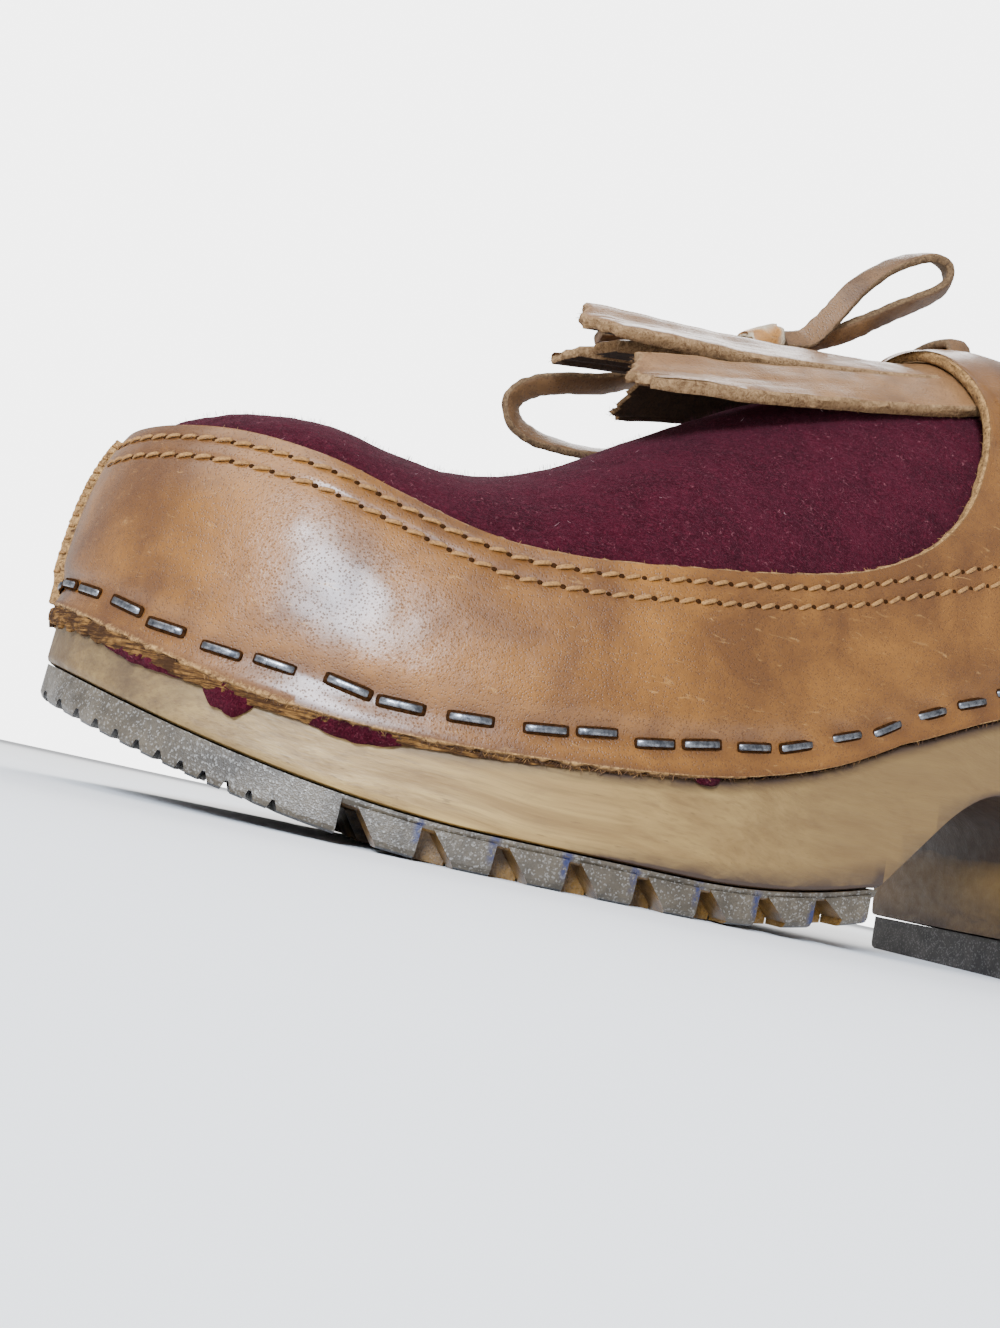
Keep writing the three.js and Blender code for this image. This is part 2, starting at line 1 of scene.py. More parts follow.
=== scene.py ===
# A left clog: wood, rubber, wool felt and waxed leather with a flat lace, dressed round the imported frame
import bmesh
import bpy
import functools
import math
import numpy as np
import random
from mathutils import Matrix, Vector, noise


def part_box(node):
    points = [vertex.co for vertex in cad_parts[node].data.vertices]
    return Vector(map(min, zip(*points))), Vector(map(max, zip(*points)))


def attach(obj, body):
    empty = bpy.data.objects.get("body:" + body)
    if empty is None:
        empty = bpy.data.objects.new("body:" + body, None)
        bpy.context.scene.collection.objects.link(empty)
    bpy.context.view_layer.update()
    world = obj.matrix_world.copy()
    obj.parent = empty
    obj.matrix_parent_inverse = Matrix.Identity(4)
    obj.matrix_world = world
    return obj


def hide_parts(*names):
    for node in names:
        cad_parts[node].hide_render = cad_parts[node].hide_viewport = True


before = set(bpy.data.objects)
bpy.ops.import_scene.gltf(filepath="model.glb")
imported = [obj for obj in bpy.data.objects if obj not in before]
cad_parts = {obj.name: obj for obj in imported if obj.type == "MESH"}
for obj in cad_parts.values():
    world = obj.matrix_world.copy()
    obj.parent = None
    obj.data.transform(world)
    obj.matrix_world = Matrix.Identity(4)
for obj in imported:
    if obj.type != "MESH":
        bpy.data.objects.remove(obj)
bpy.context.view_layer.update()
print("frame loaded")

mm = 0.001

# Sizes of the shoe in millimetres, as the solids have them: x back from the toe, z up, the outer side at -y
shoe = {
    "soleLength": 255, "ballWidth": 100, "heelHeight": 69, "toeHeight": 75, "instepHeight": 140,
    "fitGap": 0.3, "wrapGap": 0.45, "feltWall": 2.4, "leatherWall": 2.6, "fringeWall": 2.8,
    "seamProud": 2.2, "seamWidth": 3.6,
    "rabbetDepth": 4.2, "rabbetRun": 1.6, "rimRise": 9, "rimDraft": 1, "rimRound": 1.6, "edgeWood": 11,
    "bedDepth": 8, "bedMargin": 7, "heelTaper": 2.6, "spineStart": 42, "spineEnd": 216,
    "treadThickness": 6.5, "treadBase": 1.9, "treadRound": 1.4, "treadInset": 0.4, "treadEnd": 152,
    "toeSpring": 14, "flatStart": 76, "flatEnd": 112, "rearLift": 5.5,
    "ribCount": 12, "ribPitch": 3.75, "ribDepth": 1.7,
    "lugPitch": 12, "lugFoot": 5.4, "lugSlope": 4.4, "lugRoot": 0.6, "lugCount": 8, "firstLug": 66.6,
    "edgeRow": 6.5, "rowLap": 0.3, "innerRows": 4, "heelTread": 8, "heelTreadInset": 0.5,
    "archAngle": 47, "archTop": 34.5, "archRound": 9, "heelFront": 199,
    "upperEnd": 213, "throat": 190, "domeCentre": 38, "leanFade": 60,
    "windowEnd": 184, "windowCorner": 50, "windowSquareness": 3,
    "fringeTuck": 5, "fringeReach": 66, "fringeSpread": 0.43, "fringePoint": 4, "fringeBand": 4,
    "fringeSlit": 1.1, "tuckFade": 24, "laceWidth": 5.4, "laceWall": 2.2,
    "barOffset": 7, "barSpread": 0.16, "knotOffset": 34, "knotRise": 15.4, "knotTilt": 32,
}


def table(columns, *rows):
    names = columns.split()
    return [dict(zip(names, row)) for row in rows]


plan = table(
    "at outer inner",
    (0.016, 0.165, 0.19), (0.047, 0.275, 0.325), (0.098, 0.375, 0.425), (0.176, 0.455, 0.475),
    (0.275, 0.505, 0.482), (0.353, 0.515, 0.457), (0.431, 0.5, 0.4), (0.51, 0.46, 0.35),
    (0.588, 0.422, 0.315), (0.667, 0.392, 0.303), (0.745, 0.372, 0.31), (0.824, 0.357, 0.325),
    (0.902, 0.315, 0.3), (0.961, 0.215, 0.205),
)
side = table(
    "at climb cup",
    (0, -0.05, 0.3), (0.12, -0.05, 0.45), (0.2, -0.02, 0.55), (0.275, 0.02, 0.6), (0.353, 0.06, 0.6),
    (0.431, 0.12, 0.5), (0.502, 0.21, 0.4), (0.55, 0.29, 0.4), (0.608, 0.44, 0.5), (0.67, 0.64, 0.7),
    (0.745, 0.85, 0.95), (0.816, 0.94, 1), (1, 1, 0.7),
)
ridge = table(
    "at height shift square",
    (0, 0, 0.02, 3.6), (0.15, 0, 0.02, 3.4), (0.2, -0.02, 0.025, 3), (0.24, -0.02, 0.03, 2.8),
    (0.28, 0.02, 0.03, 2.65), (0.333, 0.13, 0.035, 2.5), (0.392, 0.3, 0.045, 2.45),
    (0.47, 0.51, 0.045, 2.38), (0.55, 0.7, 0.04, 2.32), (0.627, 0.84, 0.035, 2.26),
    (0.745, 1, 0.03, 2.2), (0.84, 1.06, 0.025, 2.15),
)
windowEdge = table(
    "at share",
    (0, 0.74), (0.1, 0.76), (0.2, 0.7), (0.3, 0.59), (0.4, 0.51), (0.5, 0.455), (0.6, 0.42), (0.7, 0.41),
)


def clamp(value, low=0.0, high=1.0):
    return min(max(value, low), high)


def fade(value):
    t = clamp(value)
    return t * t * (3 - 2 * t)


def smooth(rows, column, at):
    last = len(rows) - 1
    if at <= rows[0]["at"]:
        return rows[0][column]
    if at >= rows[last]["at"]:
        return rows[last][column]
    k = next(i for i, row in enumerate(rows) if row["at"] > at) - 1

    def slope(i):
        a, b = rows[max(i - 1, 0)], rows[min(i + 1, last)]
        return (b[column] - a[column]) / (b["at"] - a["at"])

    p, q = rows[k], rows[k + 1]
    span = q["at"] - p["at"]
    t = (at - p["at"]) / span
    rise = (2 * t**3 - 3 * t**2 + 1) * p[column] + (3 * t**2 - 2 * t**3) * q[column]
    return rise + span * ((t**3 - 2 * t**2 + t) * slope(k) + (t**3 - t**2) * slope(k + 1))


fullness = []
for row in plan:
    circle = 2 * math.sqrt(row["at"] * (1 - row["at"]))
    fullness.append({"at": row["at"], "outer": row["outer"] / circle, "inner": row["inner"] / circle})


# The sole's outline by angle: 0 at the toe, pi at the heel, positive on the outer side
@functools.lru_cache(maxsize=None)
def outline(angle):
    at = (1 - math.cos(angle)) / 2
    full = smooth(fullness, "outer" if angle >= 0 else "inner", at)
    return (at * shoe["soleLength"], -shoe["ballWidth"] * full * math.sin(angle))


@functools.lru_cache(maxsize=None)
def outlineSide(angle):
    step = 0.004
    ahead, behind = outline(angle + step), outline(angle - step)
    run = Vector((ahead[0] - behind[0], ahead[1] - behind[1])).normalized()
    return (-run.y, run.x)


def insetOutline(angle, inset):
    place, across = outline(angle), outlineSide(angle)
    return place[0] + across[0] * inset, place[1] + across[1] * inset


def angleAt(x):
    return math.acos(clamp(1 - 2 * x / shoe["soleLength"], -1, 1))


def rocker(x):
    front = max((shoe["flatStart"] - x) / shoe["flatStart"], 0)
    rear = clamp((x - shoe["flatEnd"]) / (shoe["treadEnd"] - shoe["flatEnd"]))
    return shoe["toeSpring"] * front**1.8 + shoe["rearLift"] * rear**2


def woodBottom(x):
    front = rocker(x) + shoe["treadThickness"]
    share = clamp((x - shoe["treadEnd"]) / (shoe["heelFront"] - shoe["treadEnd"]))
    return front + (shoe["heelTread"] - front) * share


def ledge(x):
    low = rocker(x) + shoe["treadThickness"] + shoe["edgeWood"]
    high = shoe["heelHeight"] - shoe["rimRise"]
    return low + smooth(side, "climb", x / shoe["soleLength"]) * (high - low)


# The upper's own surface, the felt's outside: angle round the outline, rise from the ledge to the ridge
def ridgeStation(x):
    reach = (shoe["throat"] - shoe["domeCentre"]) / (shoe["upperEnd"] - shoe["domeCentre"])
    return shoe["domeCentre"] + (max(x, shoe["domeCentre"]) - shoe["domeCentre"]) * reach


def columnOfRidge(x):
    reach = (shoe["upperEnd"] - shoe["domeCentre"]) / (shoe["throat"] - shoe["domeCentre"])
    return shoe["domeCentre"] + (x - shoe["domeCentre"]) * reach


def ridgePoint(x):
    at = x / shoe["soleLength"]
    z = shoe["toeHeight"] + smooth(ridge, "height", at) * (shoe["instepHeight"] - shoe["toeHeight"])
    return Vector((x, smooth(ridge, "shift", at) * shoe["ballWidth"], z))


@functools.lru_cache(maxsize=None)
def upperColumn(angle):
    x = outline(angle)[0]
    feltInset = shoe["rabbetDepth"] - shoe["fitGap"] - shoe["feltWall"]
    foot = insetOutline(angle, feltInset)
    top = ridgePoint(ridgeStation(x))
    power = 2 / smooth(ridge, "square", x / shoe["soleLength"])
    behindToes = fade((x - shoe["domeCentre"]) / shoe["leanFade"])
    return foot, top, power, ledge(foot[0]) + shoe["fitGap"], behindToes


def upperPoint(angle, rise):
    foot, top, power, low, behindToes = upperColumn(angle)
    turn = rise * math.pi / 2
    inward = 1 - max(math.cos(turn), 0) ** power
    upward = max(math.sin(turn), 0) ** power
    lean = math.sin(turn) ** 2
    return Vector((
        foot[0] + (top.x - foot[0]) * (inward + (lean - inward) * behindToes),
        foot[1] + (top.y - foot[1]) * inward,
        low + (top.z - low) * upward,
    ))


def upperNormal(angle, rise):
    step = 0.006
    rise = clamp(rise, step, 1 - step)
    across = upperPoint(angle + step, rise) - upperPoint(angle - step, rise)
    up = upperPoint(angle, rise + step) - upperPoint(angle, rise - step)
    return across.cross(up).normalized()


def windowLow(x):
    share = smooth(windowEdge, "share", x / shoe["soleLength"])
    square = smooth(ridge, "square", x / shoe["soleLength"])
    return math.asin(share ** (square / 2)) / (math.pi / 2)


def windowRise(angle):
    x = outline(angle)[0]
    if x >= shoe["windowEnd"] - 1e-9:
        return 1.0
    low = windowLow(x)
    corner, square = shoe["windowCorner"], shoe["windowSquareness"]
    turn = clamp((x - shoe["windowEnd"] + corner) / corner)
    return low + (1 - low) * (1 - (1 - turn**square) ** (1 / square))


fringeRoot = ridgeStation(shoe["windowEnd"])
endAngle = angleAt(shoe["upperEnd"])


# How far the leather is lifted where the fringe's root lies under it
def tuckLift(angle, rise):
    x = outline(angle)[0]
    if x <= shoe["windowEnd"] - shoe["windowCorner"]:
        return 0.0
    behind = ridgeStation(x) - fringeRoot
    across = (1 - rise) / shoe["fringeSpread"]
    fadeBack = fade((shoe["tuckFade"] - behind) / (shoe["tuckFade"] - shoe["fringeTuck"]))
    return (shoe["fringeWall"] + shoe["fitGap"]) * fadeBack * fade((1.5 - across) / 0.5)


# From the shoe's millimetres to the frame: the wood's own box says where the toe and the sides are
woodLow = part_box("wood_sole")[0]
outerMost = min(outline(angle)[1] for angle in np.linspace(0.5, 2.5, 200))
origin = Vector((woodLow.x / mm, woodLow.y / mm - outerMost, 0))


def inFrame(point):
    return (Vector(point) + origin) * mm


def newObject(name, data):
    made = bpy.data.objects.new(name, data)
    bpy.context.scene.collection.objects.link(made)
    return made


# Camera and stage: the view of the shoe's outer side from the toe's end, from just above the floor
viewing = {
    "place": (36.3, -215, 5), "azimuth": 12.7, "pitch": 9.4, "roll": 12.2, "focal": 1076, "longSide": 1328,
}


def makeCamera():
    data = bpy.data.cameras.new("camera")
    data.sensor_width = 36
    data.lens = data.sensor_width * viewing["focal"] / viewing["longSide"]
    data.clip_start = 0.001
    camera = newObject("camera", data)
    azimuth, pitch, roll = (math.radians(viewing[key]) for key in ("azimuth", "pitch", "roll"))
    turn = Matrix.Rotation(-azimuth, 4, "Z") @ Matrix.Rotation(math.pi / 2 + pitch, 4, "X")
    turn = turn @ Matrix.Rotation(roll, 4, "Z")
    camera.matrix_world = Matrix.Translation(inFrame(viewing["place"])) @ turn
    bpy.context.scene.camera = camera


makeCamera()

lamps = [
    {"name": "keyLight", "place": (-0.5, -0.95, 0.44), "size": 0.32, "power": 31, "color": (0.75, 0.85, 1.0)},
    {"name": "fillLight", "place": (-0.7, -0.3, 1.0), "size": 0.9, "power": 9, "color": (1.0, 0.98, 0.95)},
    {"name": "backLight", "place": (0.2, 0.8, 0.9), "size": 0.8, "power": 15, "color": (1.0, 1.0, 1.0)},
]


studio = {  # where the lamps aim, then colour and strength of the light all round and of the seen backdrop
    "aim": (0, 0, 0.06), "soft": ((0.97, 0.98, 1, 1), 0.72), "seen": ((1, 1, 1, 1), 5.0),
}


def makeLights():
    for lamp in lamps:
        data = bpy.data.lights.new(lamp["name"], "AREA")
        data.energy = lamp["power"]
        data.size = lamp["size"]
        data.color = lamp["color"]
        light = newObject(lamp["name"], data)
        light.location = lamp["place"]
        light.rotation_euler = (Vector(studio["aim"]) - light.location).to_track_quat("-Z", "Y").to_euler()
    world = bpy.data.worlds.new("studio")
    bpy.context.scene.world = world
    world.use_nodes = True
    nodes, links = world.node_tree.nodes, world.node_tree.links
    nodes.clear()
    mix = nodes.new("ShaderNodeMixShader")
    links.new(nodes.new("ShaderNodeLightPath").outputs["Is Camera Ray"], mix.inputs[0])
    for number, key in ((1, "soft"), (2, "seen")):
        background = nodes.new("ShaderNodeBackground")
        background.inputs["Color"].default_value, background.inputs["Strength"].default_value = studio[key]
        links.new(background.outputs[0], mix.inputs[number])
    links.new(mix.outputs[0], nodes.new("ShaderNodeOutputWorld").inputs["Surface"])


makeLights()
print("camera and lights made")


# Meshes
def finishPiece(piece, slot, replaced=()):
    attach(piece, "root")
    if replaced:
        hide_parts(*replaced)
    return piece


def makeObject(name, points, faces, material=None, smoothAngle=50):
    mesh = bpy.data.meshes.new(name)
    mesh.from_pydata([tuple(inFrame(p)) for p in points], [], [tuple(int(i) for i in face) for face in faces])
    mesh.update()
    mesh.shade_smooth()
    mesh.set_sharp_from_angle(angle=math.radians(smoothAngle))
    if material:
        mesh.materials.append(material)
    return newObject(name, mesh)


def evaluatedMesh(piece):
    graph = bpy.context.evaluated_depsgraph_get()
    return bpy.data.meshes.new_from_object(piece.evaluated_get(graph), depsgraph=graph)


def applyModifiers(piece):
    made = evaluatedMesh(piece)
    piece.modifiers.clear()
    piece.data = made


def editMesh(piece, change):
    mesh = bmesh.new()
    mesh.from_mesh(piece.data)
    change(mesh)
    mesh.to_mesh(piece.data)
    mesh.free()


def recalculate(piece):
    def change(mesh):
        bmesh.ops.remove_doubles(mesh, verts=mesh.verts, dist=1e-7)
        bmesh.ops.recalc_face_normals(mesh, faces=mesh.faces)
        if mesh.calc_volume(signed=True) < 0:  # a thin plate can come out turned inside out
            bmesh.ops.reverse_faces(mesh, faces=mesh.faces)

    editMesh(piece, change)
    piece.data.update()


def setAttributes(piece, **attributes):
    for name, values in attributes.items():
        attribute = piece.data.attributes.new(name, "FLOAT", "POINT")
        attribute.data.foreach_set("value", np.asarray(values, np.float32))


def rounded(value, power):
    return math.copysign(abs(value) ** power, value)


def evenly(count):
    return [i / (count - 1) for i in range(count)]


# Faces of a tube: rings of points one after another, closed round and capped at both ends
def tubeFaces(rings, around, base=0):
    faces = []
    for i in range(rings - 1):
        a, b = base + i * around, base + (i + 1) * around
        faces += [(a + j, a + (j + 1) % around, b + (j + 1) % around, b + j) for j in range(around)]
    faces.append(tuple(base + j for j in reversed(range(around))))
    faces.append(tuple(base + (rings - 1) * around + j for j in range(around)))
    return faces


def gridFaces(columns, rows, closed=False, cell=None):
    faces = []
    for i in range(columns if closed else columns - 1):
        for j in range(rows - 1):
            if cell and not cell(i, j):
                continue
            a, b = i * rows + j, ((i + 1) % columns) * rows + j
            faces.append((a, b, b + 1, a + 1))
    return faces


# Welds points that meet; first holds the index that each kept point had
def weld(points, faces):
    places = np.round(np.array([tuple(p) for p in points]), 3)
    _, first, index = np.unique(places, axis=0, return_index=True, return_inverse=True)
    index = index.reshape(-1)
    kept = np.array([tuple(points[i]) for i in first])
    joined = []
    for face in faces:
        corners = []
        for i in face:
            if index[i] not in corners:
                corners.append(int(index[i]))
        if len(corners) > 2:
            joined.append(corners)
    return kept, first, joined


def sheetNormals(points, faces):
    normals = np.zeros((len(points), 3))
    for face in faces:
        a, b, c = points[face[0]], points[face[1]], points[face[2]]
        normal = np.cross(b - a, c - a)
        if len(face) == 4:
            normal = normal + np.cross(c - a, points[face[3]] - a)
        for i in face:
            normals[i] += normal
    return normals


# A sheet given a wall with a raw cut edge: near and far are distances off the sheet, feet stand on the ledge
rims = {}
rimLook = {  # how far the flat sides stop before the rim, and where along the toe the loose hang fades
    "inner": 0.15, "outer": 0.3, "edge": 0.8, "coarse": 0.9, "fine": 2.3, "hangFade": (90, 45),
}


def shellPiece(name, points, faces, near, far, material, feet=None, marks=None,
               rimSteps=3, bulge=0.25, fray=0.2, frayFeet=0.0):
    kept, first, joined = weld(points, faces)
    normals = sheetNormals(kept, joined)
    stands = np.array([bool(feet[i]) for i in first]) if feet is not None else np.zeros(len(kept), bool)
    normals[stands, 2] = 0
    normals /= np.maximum(np.linalg.norm(normals, axis=1), 1e-9)[:, None]
    edges = {}
    for face in joined:
        for k, start in enumerate(face):
            end = face[(k + 1) % len(face)]
            if edges.pop((end, start), None) is None:
                edges[(start, end)] = True
    outward = {}
    for start, end in edges:
        out = np.cross(kept[end] - kept[start], normals[start] + normals[end])
        for i in (start, end):
            outward[i] = outward.get(i, 0) + out
    rim = {i: k for k, i in enumerate(outward)}
    out = {i: v / max(np.linalg.norm(v), 1e-9) for i, v in outward.items()}

    def moved(distances):
        places = kept + normals * np.array([distances[i] for i in first])[:, None]
        for i in np.flatnonzero(stands):
            places[i, 2] = ledge(places[i, 0]) + shoe["fitGap"]
        return places

    inner, outer = moved(near), moved(far)
    count = len(kept)
    verts = list(inner) + list(outer)
    edge = [0.0] * (2 * count)
    flesh = [1.0] * count + [0.0] * count
    marked = [marks[i] for i in first] if marks is not None else [0.0] * count
    # the marks are painted shade, laid on the outer face
    dirt = [0.0] * count + marked
    rims[name] = []
    for i in rim:
        edge[i] = edge[count + i] = rimLook["edge"]
        if not stands[i]:
            verts[i] = inner[i] - out[i] * rimLook["inner"]
            verts[count + i] = outer[i] - out[i] * rimLook["outer"]
    hangStart, hangRun = rimLook["hangFade"]
    for step in range(1, rimSteps + 1):
        share = step / (rimSteps + 1)
        for i in rim:
            place = inner[i] + (outer[i] - inner[i]) * share
            rough = noise.noise(Vector(place) * rimLook["coarse"])
            rough += 0.6 * noise.noise(Vector(place) * rimLook["fine"])
            push = bulge * math.sin(share * math.pi) ** 0.5 + fray * rough
            if stands[i]:
                toeward = 1 - 0.75 * fade((place[0] - hangStart) / hangRun)
                bellied = math.sin(clamp((share - 0.38) / 0.62) * math.pi) ** 0.6
                hang = frayFeet * toeward * (0.5 + 0.9 * rough) * bellied
                push = min(push, shoe["fitGap"] * 0.8) * (frayFeet == 0) + max(hang, 0)
            verts.append(place + out[i] * push)
            edge.append(1.5 if stands[i] else 1.0)
            flesh.append(0.5)
            dirt.append(marked[i])
            rims[name].append((verts[-1], out[i], normals[i], bool(stands[i]), share))
    layers = [lambda i: i]
    for step in range(rimSteps):
        layers.append(lambda i, step=step: 2 * count + step * len(rim) + rim[i])
    layers.append(lambda i: count + i)
    allFaces = [[count + i for i in face] for face in joined] + [face[::-1] for face in joined]
    for start, end in edges:
        for low, high in zip(layers, layers[1:]):
            allFaces.append([low(start), low(end), high(end), high(start)])
    piece = makeObject(name, verts, allFaces, material)
    setAttributes(piece, edge=edge, flesh=flesh)
    if marks is not None:
        setAttributes(piece, dirt=dirt)
    return piece


# Places along the outline by length from the toe
def outlineLengths(fine):
    places = np.array([outline(float(a)) for a in fine])
    return np.concatenate([[0], np.cumsum(np.linalg.norm(np.diff(places, axis=0), axis=1))])


def sideAngles(step, end=endAngle):
    fine = np.linspace(0, end, 2000)
    lengths = outlineLengths(fine)
    count = max(int(lengths[-1] / step), 2)
    return [float(a) for a in np.interp(np.linspace(0, lengths[-1], count + 1), lengths, fine)]


def bothSides(angles):
    return [-a for a in reversed(angles[1:])] + angles


arcs = {}
for sign in (1, -1):
    fineAngles = np.linspace(0, endAngle, 1500) * sign
    arcs[sign] = (fineAngles, outlineLengths(fineAngles))


def angleAtArc(sign, length):
    fine, lengths = arcs[sign]
    return float(np.interp(length, lengths, fine))


def arcOf(angle):
    fine, lengths = arcs[1 if angle >= 0 else -1]
    return float(np.interp(abs(angle), np.abs(fine), lengths))


def roughness(point, size, seed=0.0):
    return noise.noise(Vector(point) / size + Vector((seed, seed * 1.7, -seed)))


# Materials: a plain value is set on its socket, a socket is linked
def setInputs(tree, node, values):
    for key, value in values.items():
        socket = node.inputs[key]
        if isinstance(value, bpy.types.NodeSocket):
            tree.links.new(value, socket)
        else:
            socket.default_value = (*value, 1) if socket.type == "RGBA" else value


def put(tree, kind, values=None, **settings):
    node = tree.nodes.new(kind)
    for key, value in settings.items():
        setattr(node, key, value)
    setInputs(tree, node, values or {})
    return node


def blendColor(tree, factor, first, second):
    return put(tree, "ShaderNodeMix", {0: factor, 6: first, 7: second}, data_type="RGBA").outputs[2]


def blendValue(tree, factor, first, second):
    return put(tree, "ShaderNodeMix", {0: factor, 2: first, 3: second}, data_type="FLOAT").outputs[0]


def calculate(tree, how, first, second=0.0, clamped=False):
    return put(tree, "ShaderNodeMath", {0: first, 1: second}, operation=how, use_clamp=clamped).outputs[0]


def times(tree, first, second):
    return calculate(tree, "MULTIPLY", first, second)


# A colour laid over another by a share of a mask
def layOver(tree, color, mask, share, over):
    return blendColor(tree, times(tree, mask, share), color, over)


def remap(tree, value, fromLow, fromHigh, toLow=0.0, toHigh=1.0):
    values = {"Value": value, "From Min": fromLow, "From Max": fromHigh, "To Min": toLow, "To Max": toHigh}
    return put(tree, "ShaderNodeMapRange", values).outputs["Result"]


def stretched(tree, vector, scale, turn=(0, 0, 0)):
    return put(tree, "ShaderNodeMapping", {"Vector": vector, "Scale": scale, "Rotation": turn}).outputs[0]


def objectPlace(tree, scale=(1, 1, 1), turn=(0, 0, 0)):
    return stretched(tree, put(tree, "ShaderNodeTexCoord").outputs["Object"], scale, turn)


def axesOf(tree, vector):
    return put(tree, "ShaderNodeSeparateXYZ", {0: vector}).outputs


def attributeOf(tree, name):
    return put(tree, "ShaderNodeAttribute", attribute_name=name).outputs["Fac"]


def noiseOf(tree, vector, scale, detail=3.0, rough=0.55, distortion=0.0):
    return put(tree, "ShaderNodeTexNoise", {
        "Vector": vector, "Scale": scale, "Detail": detail, "Roughness": rough, "Distortion": distortion,
    }).outputs["Fac"]


def cellsOf(tree, vector, scale):
    return put(tree, "ShaderNodeTexVoronoi", {"Vector": vector, "Scale": scale}, feature="F1").outputs


# A shader group: fill gets the sockets that come in and gives back by name those that go out
def newGroup(name, inputs, fill):
    group = bpy.data.node_groups.new(name, "ShaderNodeTree")
    for key, value in inputs.items():
        group.interface.new_socket(key, in_out="INPUT", socket_type="NodeSocketFloat").default_value = value
    made = fill(group, group.nodes.new("NodeGroupInput").outputs)
    for key in made:
        group.interface.new_socket(key, in_out="OUTPUT", socket_type="NodeSocketFloat")
    setInputs(group, group.nodes.new("NodeGroupOutput"), made)
    return group


def useGroup(tree, group, values):
    node = tree.nodes.new("ShaderNodeGroup")
    node.node_tree = group
    setInputs(tree, node, values)
    return node.outputs


def newMaterial(name):
    material = bpy.data.materials.new(name)
    material.use_nodes = True
    tree = material.node_tree
    tree.nodes.clear()
    out = tree.nodes.new("ShaderNodeOutputMaterial")
    principled = tree.nodes.new("ShaderNodeBsdfPrincipled")
    tree.links.new(principled.outputs[0], out.inputs["Surface"])
    return material, tree, principled


def bumpInto(tree, principled, height, distance, strength=1.0):
    bump = put(tree, "ShaderNodeBump", {"Height": height, "Distance": distance, "Strength": strength})
    tree.links.new(bump.outputs[0], principled.inputs["Normal"])


# Grain of the hide: mottling, pores, scuffs and a height, for every leather piece
grainLook = {
    "wide": 260.0, "pores": (0.12, 0.42), "scuffs": (0.62, 0.72), "scuffSize": (220, 500, 900),
    "scuffTurn": (0.3, 0.5, 0.2), "poreHeight": 0.35, "fineHeight": 0.4, "wideHeight": 0.9,
}


def fillGrain(group, given):
    look, place = grainLook, objectPlace(group)
    fine = noiseOf(group, place, given["Pore Scale"], 3, 0.6)
    pores = remap(group, cellsOf(group, place, given["Pore Scale"])["Distance"], *look["pores"])
    wide = noiseOf(group, place, look["wide"], 4, 0.6, 0.3)
    streaks = noiseOf(group, objectPlace(group, look["scuffSize"], look["scuffTurn"]), 1.0, 4, 0.6, 1.2)
    height = times(group, pores, look["poreHeight"])
    height = calculate(group, "ADD", height, times(group, fine, look["fineHeight"]))
    return {
        "Mottle": noiseOf(group, place, given["Mottle Scale"], 5, 0.6, 0.4),
        "Pores": pores,
        "Scuffs": remap(group, streaks, *look["scuffs"]),
        "Height": calculate(group, "ADD", height, times(group, wide, look["wideHeight"])),
    }


# Raw cut fibres: a colour mask and a height
def fillFibres(group, given):
    place = objectPlace(group)
    fibres = noiseOf(group, place, given["Scale"], 5, 0.75, 1.5)
    lumps = noiseOf(group, place, 330.0, 3, 0.6, 0.5)
    return {"Mask": remap(group, fibres, 0.35, 0.65), "Height": calculate(group, "ADD", fibres, lumps)}


hideGrain = newGroup("hideGrain", {"Mottle Scale": 60.0, "Pore Scale": 1300.0}, fillGrain)
cutFibres = newGroup("cutFibres", {"Scale": 900.0}, fillFibres)

hides = {
    "waxedLeather": {
        "dark": (0.06, 0.019, 0.003), "light": (0.215, 0.085, 0.0145), "pore": (0.04, 0.014, 0.003),
        "edgeDark": (0.045, 0.018, 0.005), "edgeLight": (0.4, 0.22, 0.075), "flesh": (0.16, 0.08, 0.026),
        "scuff": (0.36, 0.19, 0.06), "rough": (0.3, 0.48), "coat": 0.42, "mottle": 48.0, "pores": 2100.0,
        "toeShade": 0.9,
    },
    # the flesh colour nearly black: painted shade on the strips' undersides
    "fringeHide": {
        "dark": (0.105, 0.048, 0.018), "light": (0.21, 0.105, 0.042), "pore": (0.05, 0.02, 0.008),
        "edgeDark": (0.085, 0.04, 0.014), "edgeLight": (0.29, 0.172, 0.078), "flesh": (0.016, 0.007, 0.004),
        "scuff": (0.28, 0.15, 0.055), "rough": (0.33, 0.42), "coat": 0.22, "mottle": 70.0, "pores": 1700.0,
        "toeShade": 0.0,
    },
    # the lace's own leather, darkened with painted shade on the loops
    "laceHideShaded": {
        "dark": (0.06, 0.029, 0.013), "light": (0.145, 0.074, 0.031), "pore": (0.03, 0.013, 0.006),
        "edgeDark": (0.035, 0.017, 0.007), "edgeLight": (0.17, 0.1, 0.045), "flesh": (0.1, 0.062, 0.033),
        "scuff": (0.19, 0.11, 0.05), "rough": (0.36, 0.52), "coat": 0.15, "mottle": 90.0, "pores": 1700.0,
        "toeShade": 0.0,
    },
    # the same lace leather made lighter and oranger: painted highlight on the knot
    "knotHideLit": {
        "dark": (0.17, 0.07, 0.018), "light": (0.34, 0.15, 0.035), "pore": (0.08, 0.035, 0.014),
        "edgeDark": (0.1, 0.065, 0.035), "edgeLight": (0.46, 0.36, 0.24), "flesh": (0.44, 0.36, 0.25),
        "scuff": (0.4, 0.27, 0.13), "rough": (0.36, 0.52), "coat": 0.15, "mottle": 160.0, "pores": 1700.0,
        "toeShade": 0.0,
    },
}
